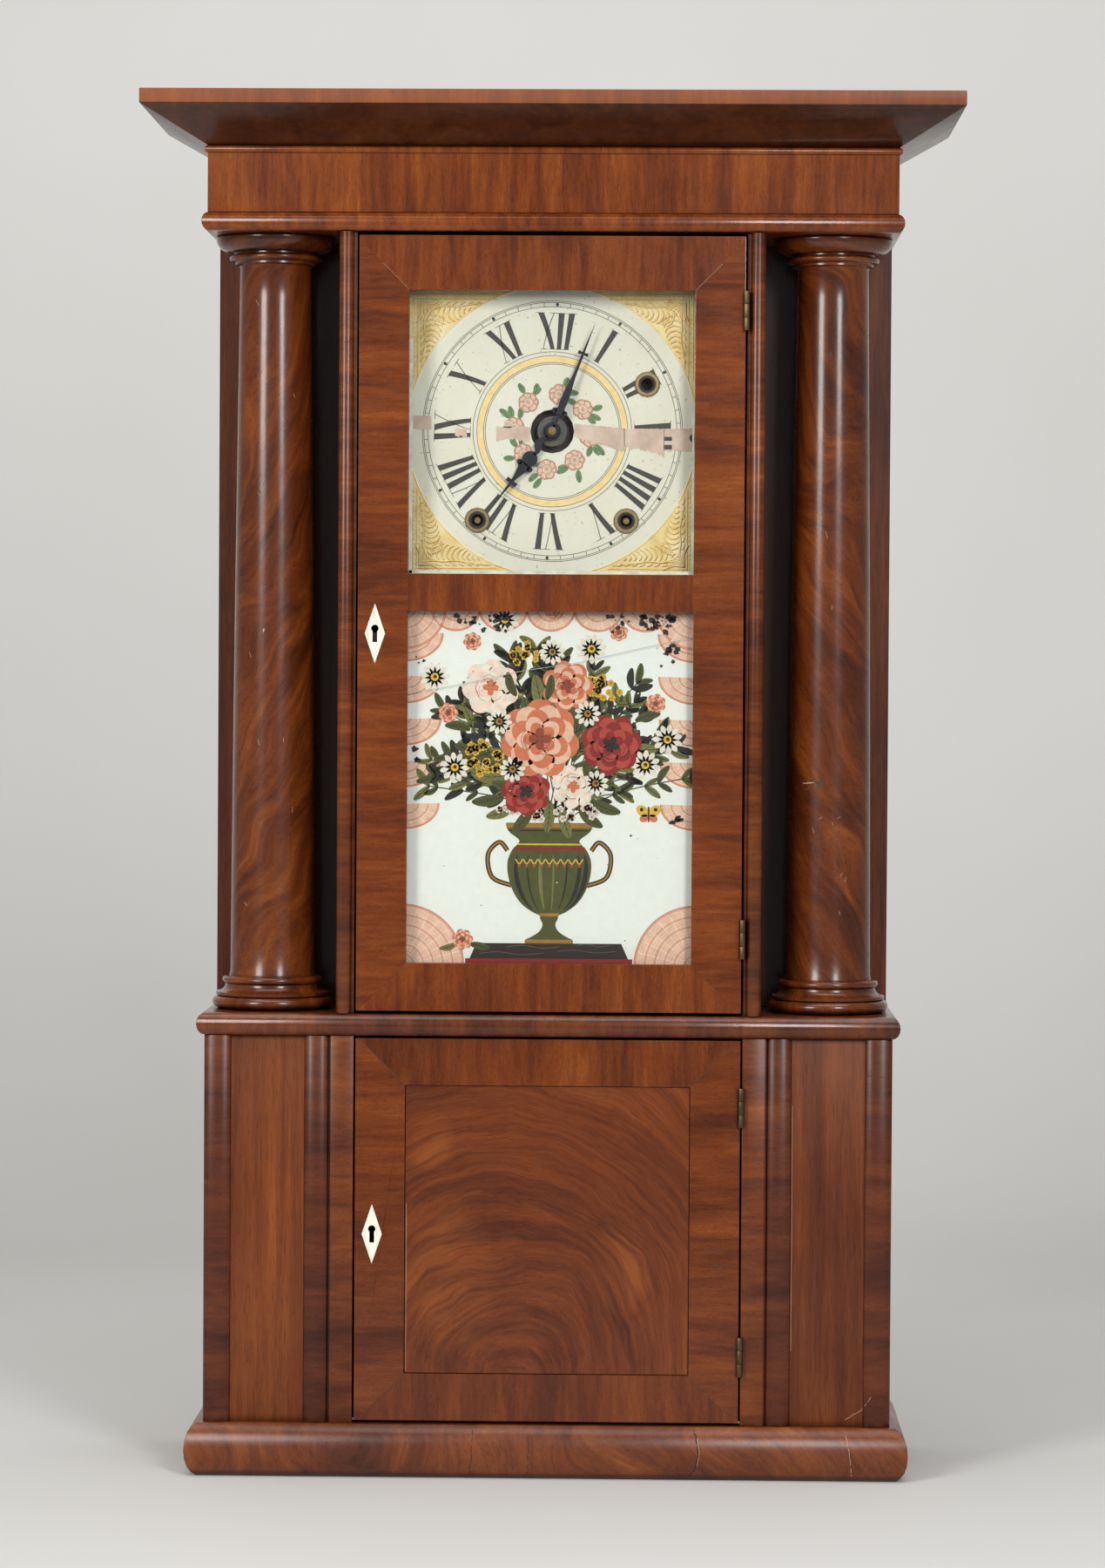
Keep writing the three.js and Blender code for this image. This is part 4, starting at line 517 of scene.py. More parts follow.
class Pieces:
    """Gathers small closed pieces, in millimetres, into one mesh object."""

    def __init__(self):
        self.points = []
        self.faces = []
        self.tones = []
        self.swell = None

    def body(self, points, faces, tone=0):
        start = len(self.points)
        if self.swell:
            k, low = self.swell
            points = [(x * k, y, low + (z - low) * k) for x, y, z in points]
        self.points += [tuple(c * MM for c in p) for p in points]
        self.faces += [tuple(i + start for i in f) for f in faces]
        self.tones += [tone] * len(faces)

    def skin(self, rows, tone=0, looped=False):
        """Joins closed rows of equal length; the end rows are capped or, if looped, joined to each other."""
        n = len(rows[0])
        last = (len(rows) - 1) * n
        faces = [] if looped else [tuple(range(n)), tuple(range(last + n - 1, last - 1, -1))]
        for r in range(len(rows) if looped else len(rows) - 1):
            a, b = r * n, (r + 1) % len(rows) * n
            faces += [(a + i, a + (i + 1) % n, b + (i + 1) % n, b + i) for i in range(n)]
        self.body([p for row in rows for p in row], faces, tone)

    def plate(self, outline, front, back, tone=0):
        """A flat plate in the X-Z plane, from y front to y back."""
        self.skin([[(x, y, z) for x, z in outline] for y in (front, back)], tone)

    def ring(self, centre, inner, outer, front, back, steps=128, tone=0):
        turns = [2 * pi * i / steps for i in range(steps)]
        self.skin([[(centre[0] + r * sin(a), y, centre[1] + r * cos(a)) for a in turns]
                   for r, y in ((inner, front), (outer, front), (outer, back), (inner, back))], tone, True)

    def stroke(self, path, widths, front, back, tone=0):
        """A flat stroke along a path in the X-Z plane."""
        self.plate(outline_of(path, widths), front, back, tone)

    def relief(self, path, widths, base, rise, tone=0, sides=6):
        """A raised rounded stroke that stands on the plane y = base, toward -Y."""
        left, right = edges_of(path, widths)
        rows = []
        for (x0, z0), (x1, z1), w in zip(left, right, widths):
            row = []
            for s in range(sides + 1):
                t = s / sides
                lift = sin(pi * t) * rise * min(1.0, w / max(widths) + 0.15)
                row.append((x0 + (x1 - x0) * t, base - lift, z0 + (z1 - z0) * t))
            rows.append(row)
        self.skin(rows, tone)

    def lathe(self, profile, centre, axis="z", steps=96, tone=0):
        """Turns a profile of (radius, height) pairs round an axis through the centre."""
        x, y, z = centre
        rows = []
        for r, h in profile:
            circle = [(r * cos(2 * pi * i / steps), r * sin(2 * pi * i / steps)) for i in range(steps)]
            rows.append([(x + u, y + v, z + h) if axis == "z" else (x + u, y + h, z + v) for u, v in circle])
        self.skin(rows, tone)

    def make(self, name, materials, body, smooth=0.0, bevel=0.0):
        mesh = bpy.data.meshes.new(name)
        mesh.from_pydata(self.points, [], self.faces)
        made = materials if isinstance(materials, (list, tuple)) else [materials]
        for material in made:
            mesh.materials.append(material)
        for polygon, tone in zip(mesh.polygons, self.tones):
            polygon.material_index = tone
        shape = bmesh.new()
        shape.from_mesh(mesh)
        bmesh.ops.recalc_face_normals(shape, faces=shape.faces)
        if smooth:
            for face in shape.faces:
                face.smooth = True
            for edge in shape.edges:
                edge.smooth = edge.calc_face_angle(3.0) < radians(smooth)
        shape.to_mesh(mesh)
        shape.free()
        item = bpy.data.objects.new(name, mesh)
        bpy.context.scene.collection.objects.link(item)
        if bevel:
            soften(item, bevel)
        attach(item, body)
        return item


def edges_of(path, widths):
    left, right = [], []
    for i, (x, z) in enumerate(path):
        x0, z0 = path[max(i - 1, 0)]
        x1, z1 = path[min(i + 1, len(path) - 1)]
        length = hypot(x1 - x0, z1 - z0) or 1.0
        nx, nz = -(z1 - z0) / length * widths[i] / 2, (x1 - x0) / length * widths[i] / 2
        left.append((x + nx, z + nz))
        right.append((x - nx, z - nz))
    return left, right


def outline_of(path, widths):
    left, right = edges_of(path, widths)
    return left + right[::-1]


def curve(points, steps=8):
    """A smooth path through the points."""
    out = []
    pts = [points[0]] + list(points) + [points[-1]]
    for i in range(1, len(pts) - 2):
        a, b, c, d = pts[i - 1:i + 3]
        for s in range(steps):
            t = s / steps
            out.append(tuple(0.5 * (2 * b[k] + (c[k] - a[k]) * t
                                    + (2 * a[k] - 5 * b[k] + 4 * c[k] - d[k]) * t * t
                                    + (3 * b[k] - a[k] - 3 * c[k] + d[k]) * t ** 3)
                             for k in range(len(points[0]))))
    out.append(tuple(points[-1]))
    return out


def swelling(path, low, rise, power=1.0, start=1.0, span=1.0):
    """Widths along a path that swell from its ends to its middle."""
    return [low + rise * sin(pi * (i + start) / (len(path) + span)) ** power for i in range(len(path))]


def disc(x, z, r, steps=24, squash=1.0, turn=0.0):
    out = []
    for i in range(steps):
        a = 2 * pi * i / steps
        u, v = r * cos(a), r * squash * sin(a)
        out.append((x + u * cos(turn) - v * sin(turn), z + u * sin(turn) + v * cos(turn)))
    return out


def soften(item, width, angle=32.0, segments=2):
    weld = item.modifiers.new("weld", "WELD")
    weld.merge_threshold = 0.00002
    round_off = item.modifiers.new("bevel", "BEVEL")
    round_off.width = width * MM
    round_off.segments = segments
    round_off.limit_method = "ANGLE"
    round_off.angle_limit = radians(angle)
    round_off.harden_normals = False


def finish_node(name, material, bevel=0.0, smooth=0.0):
    """Dresses a CAD node: its material, softened edges and smooth shading on its round faces."""
    item = nodes[name]
    item.data.materials.clear()
    item.data.materials.append(material)
    if bevel:
        soften(item, bevel)
    if smooth:
        weighted = item.modifiers.new("smooth", "NODES")
        weighted.node_group = smooth_by(smooth)
    return item


_smooth_groups = {}


def smooth_by(angle):
    """A modifier group that shades faces smooth where their edge is flatter than the angle."""
    if angle in _smooth_groups:
        return _smooth_groups[angle]
    group = bpy.data.node_groups.new("smooth_by_%d" % angle, "GeometryNodeTree")
    group.interface.new_socket("Geometry", in_out="INPUT", socket_type="NodeSocketGeometry")
    group.interface.new_socket("Geometry", in_out="OUTPUT", socket_type="NodeSocketGeometry")
    start = group.nodes.new("NodeGroupInput")
    end = group.nodes.new("NodeGroupOutput")
    edge = group.nodes.new("GeometryNodeInputMeshEdgeAngle")
    less = group.nodes.new("FunctionNodeCompare")
    less.operation = "LESS_THAN"
    less.inputs[1].default_value = radians(angle)
    faces = group.nodes.new("GeometryNodeSetShadeSmooth")
    faces.domain = "FACE"
    edges = group.nodes.new("GeometryNodeSetShadeSmooth")
    edges.domain = "EDGE"
    group.links.new(edge.outputs["Unsigned Angle"], less.inputs[0])
    group.links.new(less.outputs[0], edges.inputs["Shade Smooth"])
    group.links.new(start.outputs[0], faces.inputs["Geometry"])
    group.links.new(faces.outputs[0], edges.inputs["Geometry"])
    group.links.new(edges.outputs[0], end.inputs[0])
    _smooth_groups[angle] = group
    return group


def tree_of(item):
    mesh = item.data
    return BVHTree.FromPolygons([v.co for v in mesh.vertices], [tuple(p.vertices) for p in mesh.polygons])


def drape(name, item, path, widths, material, body, slot, proud=0.03, step=1.5):
    """A thin ribbon laid on the front of a piece along a path of (x, z) points."""
    tree = tree_of(item)
    fine, wide = [], []
    for i in range(len(path) - 1):
        (x0, z0), (x1, z1) = path[i], path[i + 1]
        count = max(1, int(hypot(x1 - x0, z1 - z0) / step))
        for s in range(count):
            t = s / count
            fine.append((x0 + (x1 - x0) * t, z0 + (z1 - z0) * t))
            wide.append(widths[i] + (widths[i + 1] - widths[i]) * t)
    fine.append(path[-1])
    wide.append(widths[-1])
    left, right = edges_of(fine, wide)
    rows = []
    for a, b in zip(left, right):
        row = []
        for x, z in (a, b):
            hit = tree.ray_cast(Vector((x * MM, -0.3, z * MM)), Vector((0, 1, 0)))
            if hit[0] is None:
                break
            row.append((x, hit[0].y / MM, z))
        if len(row) == 2:
            (x0, y0, z0), (x1, y1, z1) = row
            rows.append([(x0, y0 - proud, z0), (x1, y1 - proud, z1), (x1, y1 + 0.2, z1), (x0, y0 + 0.2, z0)])
    if len(rows) < 2:
        return None
    piece = Pieces()
    piece.skin(rows)
    return piece.make(name, material, body)


# ---------------------------------------------------------------- case

for material, bevel, smooth, names in (
        (base_wood, 0.5, 28, "base_moulding"),
        (pine, 0.5, 0, "bottom_board"),
        (flank_wood, 0.5, 28, "lower_left_flank lower_right_flank"),
        (side_wood, 0.6, 0, "upper_left_side upper_right_side"),
        (wall_wood, 0.4, 28, "left_inner_wall right_inner_wall"),
        (shelf_wood, 0.5, 28, "middle_shelf"),
        (plain_band, 0.5, 28, "entablature_moulding"),
        (frieze_wood, 0.4, 28, "frieze"),
        (cornice_wood, 0.7, 20, "cornice"),
        (pine, 0.8, 0, "top_board"),
        (pine_back, 0.8, 0, "backboard"),
        (upper_frame_wood, 0.6, 0, "upper_door_frame"),
        (lower_frame_wood, 0.5, 0, "lower_door_frame"),
        (panel_wood, 0.4, 0, "lower_door_panel"),
        (clear_glass, 0, 0, "dial_glass"),
        (glass_edge, 0, 0, "tablet_glass"),
        (bone, 0.25, 30, "upper_escutcheon lower_escutcheon"),
        (hinge_brass, 0.15, 35, "upper_hinge_bottom_fixed upper_hinge_bottom_moving "
                                "upper_hinge_top_fixed upper_hinge_top_moving "
                                "lower_hinge_bottom_fixed lower_hinge_bottom_moving "
                                "lower_hinge_top_fixed lower_hinge_top_moving"),
        (dial_white, 0.4, 0, "dial_board"),
        (grommet_brass, 0, 40, "time_grommet strike_grommet alarm_grommet"),
        (movement_brass, 0, 32, "front_plate back_plate centre_wheel hour_wheel minute_wheel second_wheel "
                                "time_great_wheel third_wheel escape_wheel time_drum strike_drum"),
        (steel, 0, 32, "verge hammer gong pendulum_rod"),
        (iron, 0, 32, "gong_base"),
        (shaded_recess_wood, 0, 32, "time_pulley strike_pulley"),
        (cord, 0, 60, "time_cord strike_cord")):
    for name in names.split():
        finish_node(name, material, bevel, smooth)


def arc(cr, ch, rr, rh, a0, a1, count):
    return [(cr + rr * cos(radians(a0 + (a1 - a0) * i / count)),
             ch + rh * sin(radians(a0 + (a1 - a0) * i / count))) for i in range(count + 1)]


def column_profile():
    top = 558.3
    foot = [(1.0, 0.0)] + arc(37.0, 4.85, 6.5, 4.85, -90, 90, 14)
    foot += [(40.8, 9.9), (40.8, 12.0), (40.2, 12.3)]
    foot += arc(40.2, 17.8, 6.1, 5.4, 252, 190, 6)
    foot += [(34.1, 17.9)] + arc(33.2, 20.9, 3.0, 2.6, -85, 90, 10)
    foot += [(31.2, 23.7), (31.2, 24.8), (30.5, 27.0)]
    shaft = []
    for i in range(1, 24):
        t = i / 24
        h = 27.0 + (top - 22.5 - 27.0) * t
        shaft.append((30.5 + (25.7 - 30.5) * t + 0.5 * sin(pi * t), h))
    head = [(25.7, top - 22.5), (26.4, top - 21.0), (29.1, top - 19.9), (29.1, top - 18.6),
            (29.9, top - 17.9)]
    head += arc(30.4, top - 15.4, 3.0, 2.3, -80, 80, 10) + [(30.0, top - 12.6), (30.0, top - 11.6)]
    head += [(30.6 + 12.4 * sin(radians(a)), top - 11.6 + 10.2 * (1 - cos(radians(a))))
             for a in (10, 22, 34, 46, 58, 70, 80, 90)]
    head += [(42.9, top - 0.7), (42.4, top), (1.0, top)]
    return foot + shaft + head


COLUMN_X = 202.0
COLUMN_FOOT = 332.1
columns = {}
for side, x in (("left", -COLUMN_X), ("right", COLUMN_X)):
    turned = Pieces()
    turned.lathe(column_profile(), (x, 0.0, COLUMN_FOOT), "z", 128)
    item = turned.make("turned_%s_column" % side, column_surface("mahogany_%s_column" % side, x * MM),
                       "case",
                       smooth=40)
    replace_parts(item, "%s_column" % side)
    columns[side] = item


# ---------------------------------------------------------------- dial

FACE = -30.0
CENTRE = (0.0, 750.0)
WHITE_RADIUS = 104.0
RIDGE_LIMIT = 105.2
HOLE_RIM = 7.4
TILT = radians(2.0)


def at(r, angle, side=0.0):
    """A point of the dial: radius, clockwise angle in degrees and a step to the clockwise side."""
    a = radians(angle) + TILT
    return (CENTRE[0] + r * sin(a) + side * cos(a), CENTRE[1] + r * cos(a) - side * sin(a))


HOLES = (("time", 53.5, 686.0), ("strike", -53.5, 686.0), ("alarm", 68.0, 784.0))


def in_hole(points):
    """True where the middle of an outline lies under a winding hole's rim."""
    x = sum(p[0] for p in points) / len(points)
    z = sum(p[1] for p in points) / len(points)
    return any(hypot(x - hx, z - hz) < HOLE_RIM for _, hx, hz in HOLES)


NUMERALS = ("XII", "I", "II", "III", "IIII", "V", "VI", "VII", "VIII", "IX", "X", "XI")
INNER, OUTER = 58.9, 84.7
figures = Pieces()
hair = Pieces()


def glyph_point(hour, t, v):
    r = INNER + (OUTER - INNER) * v
    return at(r, hour * 30.0, t * (0.80 + 0.36 * v))


for hour, text in enumerate(NUMERALS):
    widths = [6.4 if c == "I" else 12.2 for c in text]
    t = -sum(widths) / 2
    for c, w in zip(text, widths):
        mid = t + w / 2
        if c == "I":
            bars = [((mid, mid), 3.7)]
        elif c == "V":
            bars = [((mid, mid - 4.3), 3.7), ((mid, mid + 4.4), 0.55)]
        else:
            bars = [((mid + 3.6, mid - 3.6), 3.7), ((mid - 4.6, mid + 4.6), 0.55)]
        for (low, high), wide in bars:
            for step in range(16):
                v0, v1 = step / 16, (step + 1) / 16
                e0, e1 = low + (high - low) * v0, low + (high - low) * v1
                outline = [glyph_point(hour, e0 - wide / 2, v0), glyph_point(hour, e1 - wide / 2, v1),
                           glyph_point(hour, e1 + wide / 2, v1), glyph_point(hour, e0 + wide / 2, v0)]
                if not in_hole(outline):
                    (figures if wide > 1 else hair).plate(outline, FACE - 0.17, FACE)
        ends = [(mid, 0.0)] if c != "X" else [(mid - 4.2, 0.0), (mid + 3.6, 0.0)]
        ends += [(mid, 1.0)] if c == "I" else [(mid - 4.0, 1.0), (mid + 4.4, 1.0)]
        for e, v in ends:
            reach = 3.1 if c == "I" else 2.9
            line = [glyph_point(hour, e - reach, v), glyph_point(hour, e, v),
                    glyph_point(hour, e + reach, v)]
            if not in_hole(line):
                hair.stroke(line, [0.35, 0.5, 0.35], FACE - 0.16, FACE)
        t += w
for hour in range(12):
    x, z = at(90.9, hour * 30.0)
    figures.plate(disc(x, z, 1.15, 8, 1.25, -radians(hour * 30)), FACE - 0.17, FACE)
figures.make("dial_numerals", numeral_black, "case")

for r in (89.3, 92.3, 93.4, 57.0, 48.2, 49.4, 54.2):
    hair.ring(CENTRE, r - 0.2, r + 0.2, FACE - 0.16, FACE, 180)
for minute in range(60):
    hair.stroke([at(89.3, minute * 6.0), at(92.3, minute * 6.0)], [0.42, 0.42], FACE - 0.15, FACE)
hair.make("dial_lines", line_grey, "case")

band = Pieces()
band.ring(CENTRE, 49.3, 54.2, FACE - 0.15, FACE, 160)
band.make("dial_gold_ring", ring_gold, "case")

dice = random.Random(7)
wreath = Pieces()
for k, angle in enumerate((8.0, 52.0, 96.0, 140.0, 186.0, 230.0, 274.0, 318.0)):
    r = 27.4 + dice.uniform(-1.2, 1.2)
    x, z = at(r, angle)
    for leaf in range(3):
        turn = radians(90.0 - angle - 90.0) + dice.uniform(-0.5, 0.5) + leaf * 0.42
        away = 6.4 + dice.uniform(0.0, 1.2)
        root = (x + away * cos(turn), z + away * sin(turn))
        reach = dice.uniform(6.5, 9.5)
        aim = turn + dice.uniform(-0.5, 0.5)
        tip = (root[0] + reach * cos(aim), root[1] + reach * sin(aim))
        mid = ((root[0] + tip[0]) / 2 + dice.uniform(-0.5, 0.5),
               (root[1] + tip[1]) / 2 + dice.uniform(-0.5, 0.5))
        path = curve([root, mid, tip], 6)
        wreath.stroke(path, swelling(path, 0.4, 4.0, 0.8, 0.5, 0.0), FACE - 0.14 - 0.01 * leaf, FACE, 2)
        wreath.stroke(path, [0.35] * len(path), FACE - 0.18 - 0.01 * leaf, FACE, 3)
    for petal in range(7):
        a = 2 * pi * petal / 7 + dice.uniform(-0.15, 0.15)
        wreath.plate(disc(x + 4.6 * cos(a), z + 4.6 * sin(a), 3.5, 18, 0.84, a + 1.57),
                     FACE - 0.20 - 0.009 * petal, FACE, 0)
        wreath.plate(disc(x + 4.4 * cos(a), z + 4.4 * sin(a), 2.6, 18, 0.80, a + 1.57),
                     FACE - 0.204 - 0.009 * petal, FACE, 1)
    for petal in range(6):
        a = 2 * pi * petal / 6 + 0.4
        wreath.plate(disc(x + 2.2 * cos(a), z + 2.2 * sin(a), 1.9, 14, 0.8, a + 1.57),
                     FACE - 0.29 - 0.004 * petal, FACE, 0)
        wreath.plate(disc(x + 2.1 * cos(a), z + 2.1 * sin(a), 1.5, 14, 0.8, a + 1.57),
                     FACE - 0.32 - 0.004 * petal, FACE, 1)
    wreath.plate(disc(x, z, 1.2, 12), FACE - 0.36, FACE, 0)
    wreath.plate(disc(x, z, 0.6, 10), FACE - 0.37, FACE, 1)
wreath.make("dial_wreath", [rose_pink, rose_light, leaf_green, leaf_dark], "case")

# Gilt corners: a raised edge along the arc, a double edge line, leaf scrolls, a fan and rows of dots. The
# raised parts are a lighter gilt as a painted highlight, with painted shadow strokes beside the lines and
# scrolls.
HALF_W, LOW, HIGH = 104.6, 645.2, 851.4


def corner_ground(sx, sz):
    z_edge = HIGH if sz > 0 else LOW
    dz = abs(z_edge - CENTRE[1])
    start = degrees(acos(min(1.0, dz / WHITE_RADIUS)))
    finish = 88.5
    pts = [(sx * HALF_W, z_edge)]
    pts.append((sx * HALF_W, CENTRE[1] + sz * WHITE_RADIUS * cos(radians(finish))))
    for i in range(25):
        a = radians(finish + (start - finish) * i / 24)
        pts.append((sx * WHITE_RADIUS * sin(a), CENTRE[1] + sz * WHITE_RADIUS * cos(a)))
    return pts


spandrels = Pieces()
for sx in (-1, 1):
    for sz in (-1, 1):
        spandrels.plate(corner_ground(sx, sz), FACE - 0.12, FACE)

        def place(u, v):
            """u in from the side edge, v in from the top or bottom edge, in millimetres."""
            return (sx * (102.0 - u), (849.2 if sz > 0 else 646.9) - sz * v)

        def ridge(path, widths, rise):
            """A raised stroke with a painted shadow stroke beside it, cut short where it would run over the
            dial's white.
            """
            kept = []
            for point in path:
                if hypot(point[0] - CENTRE[0], point[1] - CENTRE[1]) < RIDGE_LIMIT:
                    break
                kept.append(point)
            if len(kept) > 2:
                spandrels.relief(kept, widths[:len(kept)], FACE - 0.1, rise, 1)
                # painted shadow: a brown stroke beside the ridge
                under = [(x + 0.42, z - 0.5) for x, z in kept]
                spandrels.stroke(under, [w * 0.8 for w in widths[:len(kept)]], FACE - 0.14, FACE, 2)

        rim = [(sx * WHITE_RADIUS * sin(radians(a)), CENTRE[1] + sz * WHITE_RADIUS * cos(radians(a)))
               for a in [14 + i * 2.4 for i in range(27)]]
        spandrels.relief(rim, [1.1] * len(rim), FACE - 0.1, 0.5, 1)
        for inset, wide in ((1.4, 0.7), (4.6, 0.55)):
            for path in ([place(inset, inset), place(inset, 62.0)],
                         [place(inset, inset), place(62.0, inset)]):
                spandrels.relief(path, [wide, wide], FACE - 0.1, 0.35, 1)
                # painted shadow beside each edge line
                spandrels.stroke([(x + 0.4, z - 0.4) for x, z in path], [0.4, 0.4], FACE - 0.14, FACE, 2)
        for i in range(17):
            for u, v in ((3.0, 5.0 + i * 3.4), (5.0 + i * 3.4, 3.0)):
                x, z = place(u, v)
                spandrels.lathe([(0.05, -0.42), (0.35, -0.36), (0.62, -0.12), (0.62, 0.1)],
                                (x, FACE - 0.1, z), "y", 8,
                                1)
        for flip in (False, True):
            def leafy(u, v, f=flip):
                return place(v, u) if f else place(u, v)

            stem = curve([leafy(13, 13), leafy(9.5, 22), leafy(10.0, 33), leafy(8.0, 45), leafy(6.8, 60)], 6)
            ridge(stem, [1.7 - 1.3 * i / len(stem) for i in range(len(stem))], 0.9)
            for k in range(12):
                v = 17.0 + k * 3.7
                reach = max(2.0, 13.5 - k * 0.92)
                rib = curve([leafy(10.6, v), leafy(10.2 + reach * 0.4, v - 1.6),
                             leafy(10.0 + reach * 0.85, v + 0.4), leafy(9.8 + reach, v + 3.6)], 5)
                ridge(rib, swelling(rib, 0.3, 1.25), 0.9)
            for k in range(7):
                v = 19.0 + k * 5.4
                rib = curve([leafy(9.0, v), leafy(7.6, v + 1.0), leafy(6.6, v + 3.6)], 5)
                ridge(rib, swelling(rib, 0.3, 0.8), 0.6)
        for k in range(9):
            a = radians(3 + 10.5 * k)
            reach = 15.5 - 2.4 * (k % 2)
            lean = a + 0.22 * (1 if k > 4 else -1 if k < 4 else 0)
            plume = curve([place(6.5, 6.5), place(6.5 + reach * 0.55 * sin(a), 6.5 + reach * 0.55 * cos(a)),
                           place(6.5 + reach * sin(lean), 6.5 + reach * cos(lean))], 6)
            ridge(plume, swelling(plume, 0.4, 1.25, 0.8, 0.5, 0.0), 0.95)
spandrels.make("dial_spandrels", [gilt, gilt_highlight, gilt_shadow], "case", smooth=50)


def ragged(x0, x1, top, low, ruff, seed, tilt=0.0):
    """The outline of a torn strip of tape: low gives its lower edge, ruff how rough that edge is."""
    toss = random.Random(seed)
    steps = max(4, int((x1 - x0) / 1.1))
    up, down = [], []
    for i in range(steps + 1):
        drop = tilt * (x1 - x0) * i / steps
        up.append((x0 + (x1 - x0) * i / steps, top + drop + toss.uniform(-0.35, 0.35)))
    for i in range(steps, -1, -1):
        drop = tilt * (x1 - x0) * i / steps
        x = x0 + (x1 - x0) * i / steps + toss.uniform(-0.3, 0.3)
        down.append((x, low(i / steps) + drop + toss.uniform(-ruff, ruff)))
    return up + down


strips = Pieces()
for x0, x1, top, low, ruff, seed, tilt in (
        (-103.4, -87.0, 761.0, lambda t: 751.6, 0.6, 1, -0.03),
        (-70.0, -61.5, 752.0, lambda t: 746.0, 0.7, 4, 0.0),
        (-40.2, -16.2, 753.2, lambda t: 742.8 + 1.2 * sin(4 * t), 0.8, 2, 0.0),
        (-34.5, -28.5, 757.4, lambda t: 752.6, 0.5, 5, 0.0),
        (15.8, 52.0, 755.6, lambda t: 746.2 - 7.4 * t, 0.7, 3, -0.09),
        (51.5, 80.5, 752.2, lambda t: 738.6 - 6.2 * t * t, 1.3, 6, 0.0),
        (80.2, 103.2, 752.4, lambda t: 736.4, 0.9, 7, 0.004)):
    strips.plate(ragged(x0, x1, top, low, ruff, seed, tilt), FACE - 0.40, FACE + 0.1)
strips.make("dial_repair_tape", tape, "case")
stubs = Pieces()
for z, wide in ((745.0, 2.9), (739.0, 3.3)):
    stubs.plate([(80.6, z - wide / 2), (86.0, z - wide / 2), (86.0, z + wide / 2), (80.6, z + wide / 2)],
                FACE - 0.43, FACE)
stubs.plate(disc(101.0, 745.6, 2.6, 20, 1.15), FACE - 0.44, FACE)
stubs.make("dial_tape_marks", numeral_black, "case")

# The well in the middle: a wall and floor painted dark as shade round the hour wheel's steel collet
well = Pieces()
well.ring(CENTRE, 11.3, 15.6, -23.2, -22.2, 64)
well.ring(CENTRE, 15.25, 15.62, -29.9, -22.3, 96)
well.make("dial_well_shade", shade_brown, "case")
collet = Pieces()
collet.lathe([(4.75, -0.35), (5.4, -0.75), (7.2, -0.75), (7.4, -0.5), (9.0, -0.5), (9.2, -0.8), (10.2, -0.8),
              (10.9, -0.35), (10.9, 0.3), (4.75, 0.3)], (0.0, -28.6, 750.0), "y", 96)
collet.make("hour_collet", collet_steel, "hour_hand", smooth=30)


# ---------------------------------------------------------------- hands

def turned_by(points, angle):
    a = radians(angle)
    return [(CENTRE[0] + u * cos(a) + v * sin(a), CENTRE[1] - u * sin(a) + v * cos(a))
            for u, v in points]


def both_sides(side):
    return side + [(-u, v) for u, v in reversed(side)]


def hand(name, angle, hub, hub_hole, strokes, plates, front, back, body):
    made = Pieces()
    made.ring(CENTRE, hub_hole, hub, front, back, 40)
    for outline in plates:
        made.plate(turned_by(outline, angle), front, back)
    for path, widths in strokes:
        made.stroke(turned_by(path, angle), widths, front, back)
    return made.make(name, hand_steel, body, bevel=0.12)


minute = hand("minute_hand_forged", 21.6, 5.0, 1.75, [
    (curve([(0, 1.9), (0.0, 8.0), (0.0, 12.6)], 4), [2.0, 2.1, 2.2, 2.3, 2.4, 2.6, 2.9, 3.4, 4.0]),
], [
    disc(-3.9, 14.6, 1.9, 20), disc(3.9, 14.6, 1.9, 20),
    both_sides([(1.7, 12.0), (3.4, 12.7), (3.9, 15.6), (2.5, 17.6), (2.75, 22.0), (2.7, 28.0), (2.1, 34.0),
                (1.35, 41.0), (1.05, 48.0), (0.9, 58.7), (3.7, 58.2), (3.9, 59.5), (3.7, 60.9), (0.85, 60.4),
                (0.55, 70.0), (0.12, 82.0)]),
], -36.9, -36.0, "minute_hand")
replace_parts(minute, "minute_hand")

hour = hand("hour_hand_forged", 218.4, 6.3, 4.7, [
    (curve([(0.0, 5.0), (1.5, 9.0), (1.8, 13.6), (-0.6, 17.6), (-0.2, 21.6)], 6),
     [2.4 + 3.2 * sin(pi * i / 24) ** 2 for i in range(25)]),
], [
    disc(0.0, 25.6, 5.6, 40), disc(-4.5, 31.6, 2.1, 20), disc(4.5, 31.6, 2.1, 20),
    both_sides([(1.6, 29.8), (4.2, 30.2), (4.7, 33.0), (3.3, 35.2), (2.5, 38.5), (1.5, 42.5), (1.2, 45.4),
                (4.1, 45.0), (4.4, 46.6), (4.1, 48.2), (1.2, 47.8), (0.65, 56.0), (0.12, 66.0)]),
], -33.9, -33.0, "hour_hand")
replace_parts(hour, "hour_hand")


# ---------------------------------------------------------------- tablet: an urn of flowers

